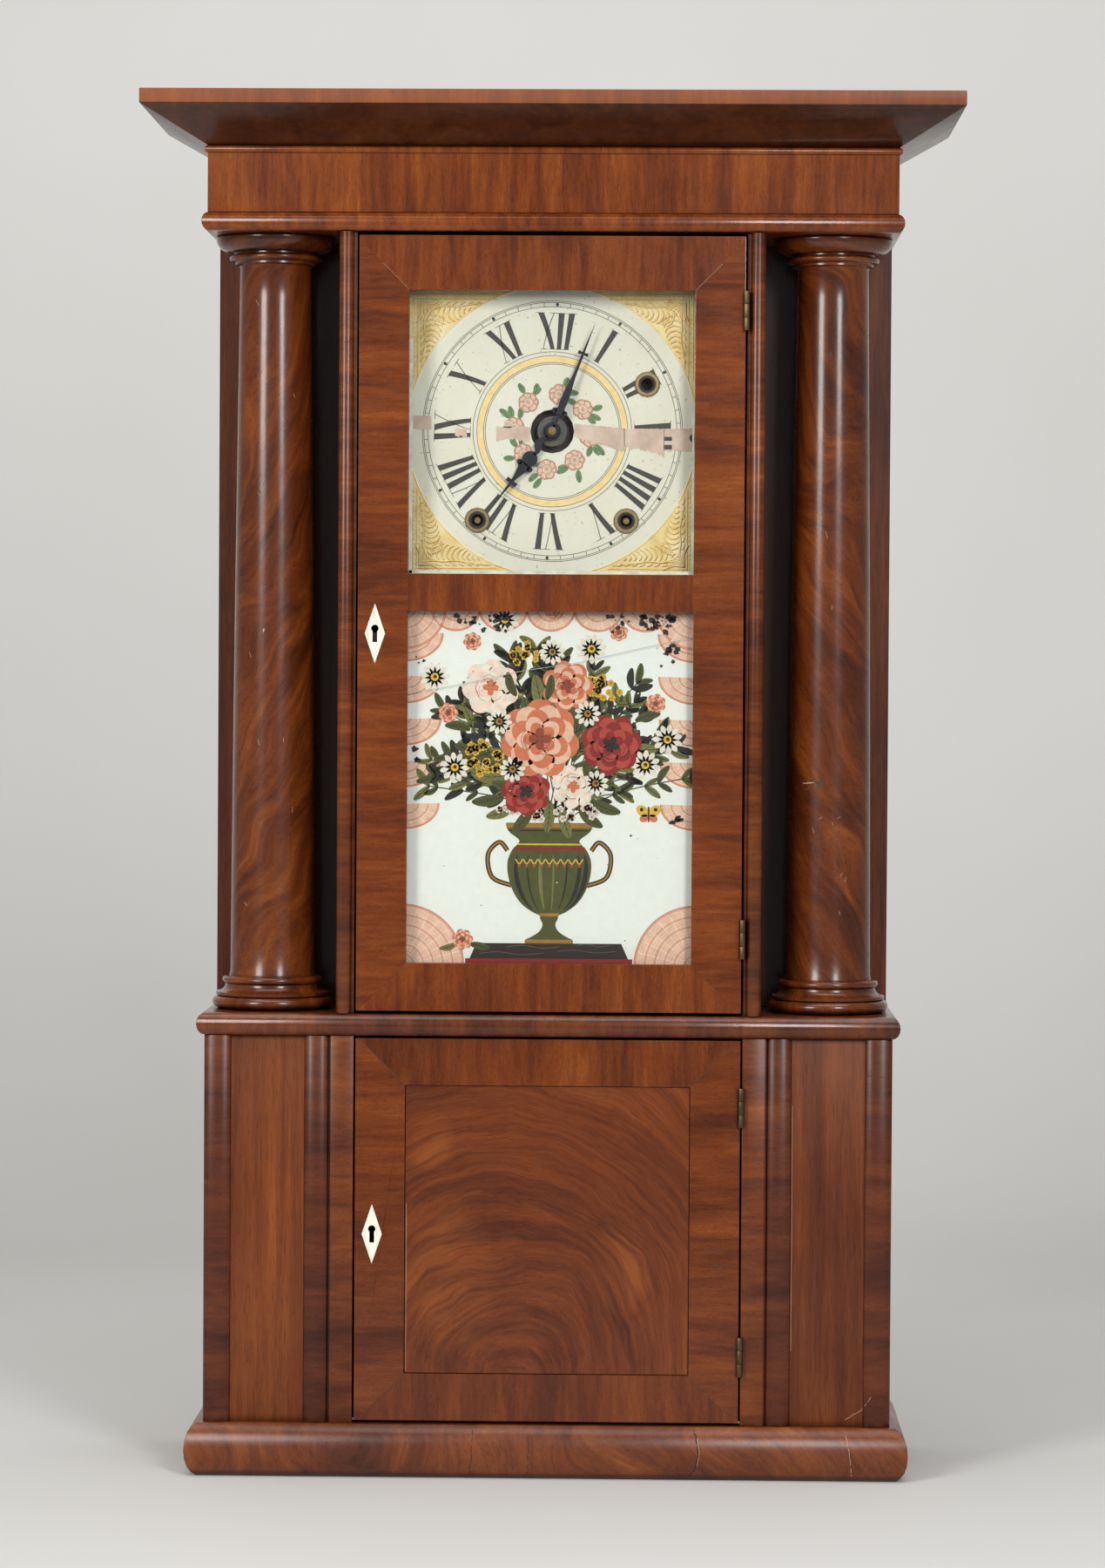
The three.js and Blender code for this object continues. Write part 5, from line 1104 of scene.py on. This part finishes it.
PAINTS = {
    "ground": (0.79, 0.81, 0.74), "peach": (0.74, 0.46, 0.32), "peach_light": (0.82, 0.62, 0.49),
    "coral_line": (0.50, 0.20, 0.12), "coral": (0.58, 0.17, 0.075), "coral_dark": (0.26, 0.055, 0.026),
    "red": (0.25, 0.018, 0.012), "red_light": (0.42, 0.060, 0.034), "yellow": (0.66, 0.42, 0.045),
    "ochre": (0.34, 0.17, 0.022), "olive": (0.075, 0.080, 0.018), "olive_light": (0.17, 0.17, 0.045),
    "leaf_black": (0.020, 0.020, 0.010), "umber": (0.030, 0.017, 0.011), "cream": (0.74, 0.70, 0.58),
    "grey": (0.33, 0.32, 0.28)}
TONE = {name: index for index, name in enumerate(PAINTS)}
tablet_paints = [paint("tablet_" + name, colour, 0.35, 0.03 if name == "ground" else 0.13, 170.0)
                 for name, colour in PAINTS.items()]
PICTURE_BACK = -41.9
PICTURE_FRONT = -42.46
LAYERS = 36
PICTURE_LOW, PICTURE_HIGH = 364.0, 624.6
toss = random.Random(31)
picture = Pieces()


def layer(index):
    """The front of a coat of paint: the coats nearest the glass have the highest index."""
    return -42.1 + (PICTURE_FRONT + 42.1) * min(index, LAYERS) / LAYERS


def patch(outline, index, tone):
    picture.plate(outline, layer(index), PICTURE_BACK, TONE[tone])


def brush(path, widths, index, tone):
    picture.stroke(path, widths, layer(index), PICTURE_BACK, TONE[tone])


def fan(x, z, radius, a0, a1, index, flat=1.0, steps=22):
    """A shell of fine arcs round a point, between two angles measured from +X toward +Z."""
    def arc_points(r):
        return [(x + r * cos(radians(a0 + (a1 - a0) * i / steps)),
                 z + flat * r * sin(radians(a0 + (a1 - a0) * i / steps))) for i in range(steps + 1)]

    patch([(x, z)] + arc_points(radius), index, "peach")
    r = radius - 0.9
    step = 0
    while r > 3.0:
        brush(arc_points(r), [0.45] * (steps + 1), index + 2,
              "coral_line" if step % 4 == 0 else "peach_light")
        r -= 1.75
        step += 1
    for k in range(1, 7):
        a = radians(a0 + (a1 - a0) * k / 7)
        tip = (x + radius * 0.94 * cos(a), z + flat * radius * 0.94 * sin(a))
        brush([(x, z), tip], [0.2, 0.9], index + 1, "peach_light")
    brush(arc_points(radius), [0.6] * (steps + 1), index + 3, "coral")


def petals(x, z, radius, count, index, tone, width=0.55, spin=0.0, round_tip=0.62):
    for k in range(count):
        a = 2 * pi * k / count + spin
        cx, cz = x + radius * round_tip * cos(a), z + radius * round_tip * sin(a)
        patch(disc(cx, cz, radius * (1 - round_tip) * 1.25, 14, width / (1 - round_tip) * 0.55, a), index,
              tone)


def rose(x, z, radius, index, tones):
    """A cabbage rose: rings of petals that close towards a dark heart."""
    dark, mid, light = tones
    patch(disc(x, z, radius * 0.86, 24), index, dark)
    for k, (reach, count, tone) in enumerate(((1.0, 7, mid), (0.88, 7, light), (0.74, 6, mid),
                                              (0.58, 5, light), (0.42, 5, mid), (0.28, 4, dark))):
        petals(x, z, radius * reach, count, index + 1 + k, tone, 0.62, toss.uniform(0, 2), 0.60)
    for k in range(9):
        a = toss.uniform(0, 2 * pi)
        r0 = radius * toss.uniform(0.25, 0.6)
        path = [(x + r * cos(b), z + r * sin(b))
                for r, b in ((r0, a), (r0 * 1.12, a + 0.5), (r0 * 1.1, a + 1.0))]
        brush(curve(path, 4), [0.3] * 9, index + 7, dark)


def daisy(x, z, radius, index, tone, heart):
    petals(x, z, radius, 11, index, tone, 0.34, toss.uniform(0, 1), 0.56)
    patch(disc(x, z, radius * 0.30, 12), index + 1, heart)
    patch(disc(x + 0.2, z + 0.2, radius * 0.14, 8), index + 2, "umber")


def leaf(x, z, length, angle, index, tone, vein="leaf_black"):
    a = radians(angle)
    side = toss.uniform(-0.18, 0.18)
    tip = (x + length * cos(a), z + length * sin(a))
    mid = (x + length * 0.5 * cos(a + side), z + length * 0.5 * sin(a + side))
    path = curve([(x, z), mid, tip], 7)
    wide = swelling(path, 0.3, length * 0.34, 0.9, 0.4, 0.0)
    brush(path, wide, index, tone)
    brush(path, [0.4] * len(path), index + 1, vein)
    left, right = edges_of(path, wide)
    for i in range(3, len(path) - 2, 2):
        for edge in (left, right):
            brush([path[i - 2],
                   (path[i][0] * 0.25 + edge[i][0] * 0.75, path[i][1] * 0.25 + edge[i][1] * 0.75)],
                  [0.25, 0.18], index + 1, vein)


def cluster(x, z, reach, count, index, tone, shade, size=2.1):
    for k in range(count):
        a = toss.uniform(0, 2 * pi)
        r = reach * sqrt(toss.uniform(0, 1))
        px, pz = x + r * cos(a), z + 0.8 * r * sin(a)
        patch(disc(px, pz, size, 10), index, shade)
        petals(px, pz, size * 1.02, 5, index + 1, tone, 0.7, toss.uniform(0, 1))
        patch(disc(px, pz, size * 0.25, 6), index + 2, shade)


patch([(-106.6, PICTURE_LOW), (106.6, PICTURE_LOW), (106.6, PICTURE_HIGH), (-106.6, PICTURE_HIGH)], 0,
      "ground")

# Border: shells down both sides, a row of smaller ones along the top and a quarter fan in each lower corner
for side in (-1, 1):
    for k in range(5):
        z = 604.0 - 30.5 * k
        fan(side * 104.0, z, 27.0 - 0.6 * k, 90 + 88 * side, 90 + 272 * side, 1, 0.72)
    fan(side * 105.0, 366.0, 44.0, 90 + 2 * side, 90 + 88 * side, 1)
for k in range(5):
    fan(-68.0 + 34.0 * k, 622.5, 17.6, 182, 358, 5, 0.92)
for side in (-1, 1):
    fan(side * 104.0, 622.5, 29.0, 270 - 90 * side, 270 + 2 * side, 6)

# A dark marble slab with a red edge
patch([(-58, 369.0), (58, 369.0), (52, 382.5), (-52, 382.5)], 4, "umber")
patch([(-60, 366.0), (60, 366.0), (60, 371.5), (-60, 371.5)], 5, "red")
for x, z, run in ((-50, 374.6, 46), (-30, 379.4, 38), (6, 376.2, 42), (20, 380.6, 24)):
    path = curve([(x, z), (x + run * 0.3, z + 1.1), (x + run * 0.65, z - 0.8), (x + run, z + 0.4)], 8)
    brush(path, swelling(path, 0.1, 0.5, 1.0, 0.0, -1.0), 6, "leaf_black")
    brush([(a, b + 0.5) for a, b in path], [0.12] * len(path), 7, "grey")

# Urn: a turned outline with gadroons, bands and two scroll handles
URN = [(17, 382), (17, 385), (13, 387), (7.0, 391), (4.6, 396), (6.5, 400.5), (6.5, 402.5), (12, 405),
       (20, 411), (26, 420), (29.5, 431), (30.0, 441), (27.0, 449), (22.5, 454), (22.0, 457), (28.5, 462),
       (31.0, 466.5), (31.0, 469)]
urn_side = curve([(float(a), float(b)) for a, b in URN], 4)
for side in (-1, 1):
    handle = curve([(side * 27, 424), (side * 41, 430), (side * 44, 446), (side * 36, 455),
                    (side * 30, 449)], 7)
    brush(handle, [3.4] * len(handle), 6, "umber")
    brush(handle, [1.2] * len(handle), 7, "ochre")
patch(urn_side + [(-a, b) for a, b in reversed(urn_side)], 8, "olive")


def urn_width(z):
    for (a, b), (c, d) in zip(urn_side, urn_side[1:]):
        if b <= z <= d and d > b:
            return a + (c - a) * (z - b) / (d - b)
    return 0.0


for share, tone, wide in ((-0.80, "leaf_black", 3.0), (-0.52, "leaf_black", 1.0),
                          (-0.22, "olive_light", 2.4), (0.10, "olive_light", 1.2),
                          (0.42, "leaf_black", 1.0), (0.72, "leaf_black", 2.6), (0.88, "leaf_black", 3.2)):
    path = [(urn_width(z) * share, z) for z in range(407, 449, 3)]
    brush(path, swelling(path, 0.3, wide), 9, tone)
for z, tall, tone in ((403, 2.2, "ochre"), (450.5, 2.4, "red"), (453.6, 1.2, "yellow"),
                      (463.5, 1.0, "leaf_black"), (467, 3.2, "ochre"), (384, 2.4, "ochre")):
    w = urn_width(z) - 0.4
    patch([(-w, z - tall / 2), (w, z - tall / 2), (w, z + tall / 2), (-w, z + tall / 2)], 10, tone)
for k in range(-4, 5):
    x = 5.4 * k
    swag = curve([(x - 2.6, 443), (x, 439.5), (x + 2.6, 443)], 4)
    brush(swag, [0.9] * len(swag), 11, "yellow")
    patch(disc(x, 438.0, 1.1, 10), 12, "red_light")

# The bouquet: sprays, leaves, then the flowers from the outside to the middle
picture.swell = (1.22, 478.0)
for k in range(40):
    a = radians(6 + 168 * k / 39)
    reach = toss.uniform(52, 80)
    start = (toss.uniform(-12, 12), 474.0)
    tip = (start[0] + reach * 0.95 * cos(a), 482.0 + reach * 1.28 * sin(a) * 0.92)
    mid = (start[0] + (tip[0] - start[0]) * 0.42, 474.0 + (tip[1] - 474.0) * 0.62)
    stem = curve([start, mid, tip], 6)
    brush(stem, [0.75] * len(stem), 3, "olive")
    for s in (0.55, 0.68, 0.80, 0.92, 1.0):
        px, pz = stem[int((len(stem) - 1) * s)]
        for turn in (-38, 34):
            leaf(px, pz, toss.uniform(8, 13), degrees(a) + turn + toss.uniform(-14, 14), 4 + k % 3,
                 ("olive", "olive_light", "leaf_black")[(k + int(10 * s)) % 3])
for k in range(34):
    a = toss.uniform(-8, 188)
    r = toss.uniform(10, 46)
    leaf(r * cos(radians(a)), 500 + 0.9 * r * sin(radians(a)), toss.uniform(15, 24),
         a + toss.uniform(-30, 30), 7 + k % 3, ("olive", "olive_light", "olive")[k % 3])
for x, z, turn in ((-20, 482, 205), (-10, 480, 232), (7, 480, 285), (17, 481, 318), (24, 484, 338),
                   (-27, 486, 190), (0, 484, 265), (-16, 488, 160), (20, 488, 20), (10, 486, 60),
                   (-6, 486, 120)):
    leaf(x, z, 19, turn, 12, "olive_light" if turn % 2 else "olive")
for x, z in ((-24, 478), (-9, 475.5), (8, 475.5), (23, 478)):
    cluster(x, z, 6, 7, 16, "cream", "coral", 1.9)

CORAL = ("coral_dark", "coral", "peach")
CRIMSON = ("umber", "red", "red_light")
BLUSH = ("coral", "peach_light", "cream")
for x, z, size in ((-60, 535, 5.5), (62, 541, 5.5), (-46, 577, 5.0), (40, 583, 5.0), (2, 596, 5.5)):
    rose(x, z, size, 14, CORAL)
for x, z in ((-56, 503), (56, 505), (-27, 590), (24, 573), (-68, 556), (69, 520)):
    daisy(x, z, 8.0, 15, "cream", "yellow")
cluster(-38, 509, 13, 26, 16, "yellow", "ochre")
cluster(33, 552, 11, 20, 16, "yellow", "ochre", 1.9)
cluster(-14, 569, 9, 15, 16, "yellow", "ochre", 1.8)
rose(-35, 550, 15.5, 18, BLUSH)
rose(36, 517, 16.5, 18, CRIMSON)
rose(10, 551, 14.0, 19, CORAL)
rose(-14, 489, 13.5, 20, CRIMSON)
rose(14, 492, 12.0, 21, BLUSH)
rose(-6, 520, 21.5, 24, CORAL)
for x, z in ((-30, 530), (22, 535), (-22, 502), (27, 494), (1, 571)):
    daisy(x, z, 7.0, 26, "cream", "ochre")
for x, z, turn in ((-47, 525, 170), (50, 531, 15), (-20, 545, 110), (20, 505, 300), (-2, 543, 80)):
    leaf(x, z, 15, turn, 25, "olive")

# A butterfly, a bud that has dropped on the slab and the old paint losses
picture.swell = None
for side in (-1, 1):
    patch(disc(71 + side * 4.4, 478, 5.0, 16, 0.72, side * 0.7), 12, "yellow")
    patch(disc(71 + side * 3.2, 472.8, 3.4, 14, 0.8, -side * 0.5), 12, "coral")
    patch(disc(71 + side * 5.0, 479, 1.4, 10), 13, "umber")
brush([(71, 470), (71, 481)], [1.0, 1.3], 14, "umber")
rose(-62, 385, 7.0, 13, CORAL)
leaf(-57, 382, 15, -12, 12, "olive")
leaf(-66, 382, 13, 196, 12, "olive_light")


def loss(x, z, reach, tone, index=34, sharp=0.45):
    count = 9 + int(reach)
    patch([(x + reach * toss.uniform(1 - sharp, 1 + sharp) * cos(2 * pi * i / count),
            z + reach * 0.8 * toss.uniform(1 - sharp, 1 + sharp) * sin(2 * pi * i / count))
           for i in range(count)], index, tone)


for x, z, spread, count in ((-38, 613, 15, 16), (-66, 616, 8, 5), (76, 613, 12, 26), (86, 592, 7, 9),
                            (52, 616, 10, 9), (-92, 584, 6, 4), (90, 470, 6, 5), (-96, 520, 5, 4)):
    for k in range(count):
        loss(x + toss.gauss(0, spread * 0.6), min(617.0, z + toss.gauss(0, 4.0)), toss.uniform(0.5, 2.6),
             "umber")
for k in range(46):
    loss(toss.uniform(-95, 95), toss.uniform(376, 612), toss.uniform(0.25, 0.8),
         toss.choice(("grey", "cream", "umber")))
picture.make("tablet_picture", tablet_paints, "upper_door")

shine = Pieces()
crack = [(-102.0, 561.0), (-64.0, 568.0), (-22.0, 577.5), (20.0, 584.0), (60.0, 593.5), (102.0, 602.5)]
shine.stroke(crack, [0.35] * len(crack), -44.56, -44.4)
shine.make("tablet_glass_crack", paint("glass_crack", (0.34, 0.35, 0.33), 0.3, 0.2, 500.0), "upper_door")


# ---------------------------------------------------------------- painted shade behind the winding holes

for name, x, z in HOLES:
    shade = Pieces()
    shade.ring((x, z), 2.45, 7.2, -21.9, -21.5, 32)
    shade.ring((x, z), 4.2, 4.66, -30.9, -22.2, 40)
    if name == "alarm":
        shade.plate(disc(x, z, 7.0, 32), -21.4, -21.1)
    shade.make("%s_hole_shade" % name, dark_gap_and_shade, "case")
    # painted shade: a dark ring on the grommet's flange round its bore
    lip = Pieces()
    lip.ring((x, z), 4.72, 6.3, -31.58, -31.3, 48)
    lip.make("%s_grommet_lip_shade" % name, shade_brown, "case")

edge = Pieces()
for x0, x1, z0, z1 in ((-101.8, -99.6, 647.4, 815.0), (-101.8, 101.6, 647.4, 649.4),
                       (100.4, 101.8, 649.4, 762.0)):
    edge.plate([(x0, z0), (x1, z0), (x1, z1), (x0, z1)], -44.62, -44.52)
edge.make("dial_glass_edge", paint("glass_putty", (0.56, 0.58, 0.48), 0.4, 0.25, 90.0), "upper_door")


# ---------------------------------------------------------------- joints, cracks, chips, scratches and painted glints

seam_brown = paint("seam_brown", (0.026, 0.011, 0.007), 0.6, 0.25, 200.0)
chip_dark = paint("chip_dark", (0.050, 0.024, 0.014), 0.7, 0.3, 400.0)
worn = random.Random(19)


def wander(path, stray, parts=6):
    """The same path with small random steps aside, as a crack runs."""
    out = []
    for (x0, z0), (x1, z1) in zip(path, path[1:]):
        for s in range(parts):
            t = s / parts
            out.append((x0 + (x1 - x0) * t + worn.uniform(-stray, stray),
                        z0 + (z1 - z0) * t + worn.uniform(-stray, stray)))
    return out + [path[-1]]


MARKED = {"frieze": ("case", "carcass_wood"),
          "base_moulding": ("case", "carcass_wood"),
          "middle_shelf": ("case", "carcass_wood"),
          "lower_left_flank": ("case", "flank_wood"),
          "lower_right_flank": ("case", "flank_wood"),
          "lower_door_frame": ("lower_door", "door_wood"),
          "left_inner_wall": ("case", "flank_wood"),
          "lower_door_panel": ("lower_door", "panel_wood"),
          "upper_door_frame": ("upper_door", "door_wood")}
MARKS = [
    ("frieze_joint", "frieze", dark_gap_and_shade, [(7.0, 944.6), (7.4, 906.0)], 0.28, 0.05),
    ("base_joint_left", "base_moulding", chip_dark, [(-129, 36.5), (-128, 20), (-130, 2)], 0.35, 0.2),
    ("base_crack_a", "base_moulding", dark_gap_and_shade, [(-52, 36.5), (-52.6, 18), (-54, 2)], 0.45, 0.35),
    ("base_crack_b", "base_moulding", dark_gap_and_shade, [(-12.5, 36.5), (-11.8, 20), (-13, 3)], 0.35, 0.25),
    ("base_crack_c", "base_moulding", dark_gap_and_shade,
     [(106, 36.5), (108, 30), (109.5, 20), (107.5, 10), (102, 2)], 0.8, 0.35),
    ("base_glint", "base_moulding", scratch_and_glint, [(108.4, 31), (110.4, 21), (108.6, 11)], 0.35, 0.25),
    ("shelf_joint", "middle_shelf", dark_gap_and_shade, [(138, 331), (137.6, 317)], 0.3, 0.1),
    ("bead_joint_left", "lower_left_flank", dark_gap_and_shade, [(-246, 273.5), (-228.5, 274)], 0.35, 0.1),
    ("bead_joint_left_low", "lower_left_flank", dark_gap_and_shade, [(-246, 63.5), (-228.5, 63)], 0.3, 0.1),
    ("bead_joint_inner", "lower_left_flank", dark_gap_and_shade, [(-174, 62), (-157.5, 62)], 0.3, 0.1),
    ("bead_joint_right_a", "lower_right_flank", dark_gap_and_shade, [(228.5, 290), (245.8, 289)], 0.35, 0.12),
    ("bead_joint_right_b", "lower_right_flank", chip_dark,
     [(228.5, 262), (234, 258), (240, 257), (246, 261)], 0.45, 0.2),
    ("bead_joint_right_c", "lower_right_flank", dark_gap_and_shade, [(228.5, 243), (246, 243)], 0.3, 0.1),
    ("bead_joint_right_d", "lower_right_flank", dark_gap_and_shade, [(157.5, 252), (174, 252)], 0.3, 0.1),
    ("stile_joint", "lower_door_frame", dark_gap_and_shade, [(103, 172), (137.5, 172)], 0.3, 0.15),
    ("stile_patch_a", "lower_door_frame", chip_dark, [(112, 166), (119, 163), (126, 165)], 1.0, 0.5),
    ("stile_patch_b", "lower_door_frame", chip_dark, [(118, 154), (128, 152), (133, 154)], 0.8, 0.5),
    ("flank_pale_edge", "lower_right_flank", scratch_and_glint, [(175.4, 268), (175.4, 92)], 0.2, 0.03),
    ("scratch_low_right", "lower_right_flank", scratch_and_glint, [(233, 60), (226, 50), (214.5, 43)], 0.3, 0.3),
    ("scratch_base_right", "base_moulding", scratch_and_glint, [(214, 36), (217, 22), (219, 4)], 0.35, 0.3),
    ("wall_crack", "left_inner_wall", dark_gap_and_shade, [(-151.4, 812), (-147, 811), (-142.5, 812)], 0.5, 0.25),
    ("panel_line_top", "lower_door_panel", seam_brown, [(-101.4, 280.3), (101.4, 280.3)], 1.1, 0.0),
    ("panel_line_low", "lower_door_panel", seam_brown, [(-101.4, 74.7), (101.4, 74.7)], 1.1, 0.0),
    ("panel_line_left", "lower_door_panel", seam_brown, [(-101.4, 74.7), (-101.4, 280.3)], 1.1, 0.0),
    ("panel_line_right", "lower_door_panel", seam_brown, [(101.4, 74.7), (101.4, 280.3)], 1.1, 0.0),
    ("panel_glint", "lower_door_panel", scratch_and_glint, [(-100.6, 75.6), (-100.6, 196)], 0.22, 0.0),
]
for sx, side in ((-1, "left"), (1, "right")):
    for z, sz, end in ((849.2, 1, "top"), (368.5, -1, "low")):
        MARKS.append(("upper_mitre_%s_%s" % (side, end), "upper_door_frame",
                      scratch_and_glint if end == "top" else chip_dark,
                      [(sx * 102.4, z + sz * 0.4), (sx * 121.0, z + sz * 19.0)], 0.15, 0.06))
    for z, sz, end in ((281.0, 1, "top"), (74.0, -1, "low")):
        MARKS.append(("lower_mitre_%s_%s" % (side, end), "lower_door_frame", chip_dark,
                      [(sx * 102.4, z + sz * 0.4), (sx * 135.0, z + sz * 32.6)], 0.3, 0.05))
for name, node, material, path, width, stray in MARKS:
    line = wander(path, stray) if stray else path
    drape(name, nodes[node], line, [width] * len(line), material, *MARKED[node])


def scar(name, x, z, wide, tall, turn, item, material=chip_dark):
    """A shallow chip with a ragged edge, laid on a column."""
    path = [(x + wide * cos(turn) * t, z + tall * sin(turn) * t) for t in (-1.0, -0.5, 0.0, 0.5, 1.0)]
    widths = [0.5, tall * 0.75, tall, tall * 0.6, 0.4]
    drape(name, item, wander(path, 0.5, 3), [w for w in widths[:-1] for _ in range(3)] + [widths[-1]],
          material,
          "case", "column_wood", step=0.8)


scar("chip_right_column", 190.0, 496.0, 7.5, 6.0, 0.5, columns["right"])
scar("chip_right_glint", 186.0, 498.5, 5.0, 0.9, 0.7, columns["right"], scratch_and_glint)
scar("scuff_right_column", 199.0, 806.0, 3.0, 2.4, 1.2, columns["right"])
scar("chip_left_column", -196.5, 484.0, 3.6, 2.6, 0.9, columns["left"])
scar("scuff_left_column", -207.0, 606.0, 2.2, 1.2, 1.4, columns["left"], scratch_and_glint)
for k in range(26):
    side = worn.choice(("left", "right"))
    x = (-COLUMN_X if side == "left" else COLUMN_X) + worn.uniform(-20, 20)
    z = worn.uniform(365, 860)
    path = [(x, z), (x + worn.uniform(-2.5, 2.5), z + worn.uniform(1.0, 5.0))]
    drape("nick_%02d" % k, columns[side], path, [0.3, 0.2], scratch_and_glint if k % 3 else chip_dark, "case",
          "column_wood")


# ---------------------------------------------------------------- bob and weights

bob = Pieces()
lower_face = [(27.0 * sin(radians(a)), -6.0 * cos(radians(a)) ** 0.8) for a in range(8, 86, 6)]
upper_face = [(27.0 * sin(radians(a)), 6.0 * cos(radians(a)) ** 0.8) for a in range(80, 6, -6)]
bob.lathe([(0.4, -6.0)] + lower_face + [(26.9, -0.5), (26.9, 0.5)] + upper_face + [(0.4, 6.0)],
          (0.0, 40.0, 480.0), "y", 96)
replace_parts(bob.make("bob_turned", movement_brass, "pendulum", smooth=50), "pendulum_bob")

WEIGHT_X, WEIGHT_Y = 111.0, 60.0
HOOK_RADIUS, HOOK_STEPS = 1.15, 10
for side, x, body in (("time", WEIGHT_X, "time_weight"), ("strike", -WEIGHT_X, "strike_weight")):
    weight = Pieces()
    weight.lathe([(0.5, 50.4), (22.5, 50.4), (24.4, 51.4), (24.9, 53.2), (24.6, 120.0), (24.9, 180.0),
                  (24.7, 246.4), (24.0, 248.6), (22.0, 250.0), (8.0, 251.6), (4.0, 252.2), (0.5, 252.3)],
                  (x, WEIGHT_Y, 0.0), "z", 72)
    hook = [(x + 4.2 * cos(radians(a)), 258.2 + 5.0 * sin(radians(a)))
            for a in range(-100, 200, 15)]
    for (x0, z0), (x1, z1) in zip(hook, hook[1:]):
        length = hypot(x1 - x0, z1 - z0)
        nx, nz = -(z1 - z0) / length, (x1 - x0) / length
        circle = [(HOOK_RADIUS * cos(2 * pi * s / HOOK_STEPS), HOOK_RADIUS * sin(2 * pi * s / HOOK_STEPS))
                  for s in range(HOOK_STEPS)]
        weight.skin([[(px + u * nx, WEIGHT_Y + v, pz + u * nz) for u, v in circle]
                     for px, pz in ((x0, z0), (x1, z1))])
    made = weight.make("%s_weight_cast" % side, iron, body, smooth=40)
    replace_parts(made, "%s_weight" % side)


# ---------------------------------------------------------------- stage, lights and camera

def stage_surface():
    n, place = begin("studio_paper")
    z = n.parts(place)[2]
    tone = n.ramp(n.noise(place, 1.4, 3.0, 0.5),
                  ((0.3, (0.635, 0.624, 0.600)), (0.7, (0.670, 0.662, 0.645))))
    # painted light: the paper is painted darker on the floor and lighter higher up the wall
    rise = n.ramp(n.math("DIVIDE", z, 2.0), ((0.0, 0.90), (0.04, 0.93), (0.25, 1.05), (0.62, 1.16)))
    paper = n.add("BsdfPrincipled", {"Base Color": n.mix(1.0, tone, rise, "MULTIPLY"), "Roughness": 0.9,
                                     "Specular IOR Level": 0.1}).outputs[0]
    # The paper is seen from its front only, so that views from behind look past it
    behind = n.add("NewGeometry").outputs["Backfacing"]
    clear = n.add("BsdfTransparent").outputs[0]
    return n.close(n.add("MixShader", {0: behind, 1: paper, 2: clear}).outputs[0])


def cyclorama():
    profile = [(-1.1, 0.0), (1.2, 0.0)]
    profile += [(1.2 + 1.1 * sin(radians(a)), 1.1 - 1.1 * cos(radians(a))) for a in range(6, 91, 6)]
    profile += [(2.3, 4.5)]
    points, faces = [], []
    for y, z in profile:
        points += [(-5.0, y, z), (5.0, y, z)]
    for i in range(len(profile) - 1):
        faces.append((2 * i, 2 * i + 1, 2 * i + 3, 2 * i + 2))
    mesh = bpy.data.meshes.new("cyclorama")
    mesh.from_pydata(points, [], faces)
    mesh.materials.append(stage_surface())
    for polygon in mesh.polygons:
        polygon.use_smooth = True
    item = bpy.data.objects.new("cyclorama", mesh)
    bpy.context.scene.collection.objects.link(item)


def softbox(name, place, aim, width, height, power, colour):
    light = bpy.data.lights.new(name, "AREA")
    light.shape = "RECTANGLE"
    light.size = width
    light.size_y = height
    light.energy = power
    light.color = colour
    item = bpy.data.objects.new(name, light)
    item.location = place
    item.rotation_euler = (Vector(aim) - Vector(place)).to_track_quat("-Z", "Y").to_euler()
    bpy.context.scene.collection.objects.link(item)


cyclorama()
softbox("softbox_left", (-1.75, -2.45, 1.55), (0.0, 0.0, 0.6), 0.8, 1.3, 56.0, (1.0, 0.985, 0.96))
softbox("softbox_right", (1.15, -2.75, 1.60), (0.0, 0.0, 0.6), 0.6, 1.2, 49.0, (0.97, 0.985, 1.0))
softbox("overhead", (0.0, -0.4, 2.8), (0.0, 0.1, 0.0), 2.4, 2.0, 44.0, (1.0, 0.99, 0.97))

world = bpy.data.worlds.new("studio")
bpy.context.scene.world = world
world.use_nodes = True
sky = world.node_tree.nodes["Background"]
sky.inputs["Color"].default_value = (0.95, 0.97, 1.0, 1.0)
sky.inputs["Strength"].default_value = 0.27


def aim_camera(place, yaw, pitch, roll):
    """Yaw left of +Y, pitch down, and the roll that turns the picture's content clockwise, in degrees."""
    y, p, r = (radians(v) for v in (yaw, pitch, roll))
    ahead = Vector((-sin(y) * cos(p), cos(y) * cos(p), -sin(p)))
    right = ahead.cross(Vector((0, 0, 1))).normalized()
    up = right.cross(ahead)
    across = right * cos(r) + up * sin(r)
    above = up * cos(r) - right * sin(r)
    matrix = Matrix((across, above, -ahead)).transposed().to_4x4()
    matrix.translation = Vector(place)
    return matrix


camera_data = bpy.data.cameras.new("camera")
camera_data.lens = 105.56
camera_data.sensor_width = 36.0
camera_data.sensor_fit = "AUTO"
camera = bpy.data.objects.new("camera", camera_data)
camera.matrix_world = aim_camera((0.0704, -3.3365, 0.575), 1.19, 1.357, 0.355)
bpy.context.scene.collection.objects.link(camera)
bpy.context.scene.camera = camera
bpy.context.scene.view_settings.view_transform = "Standard"
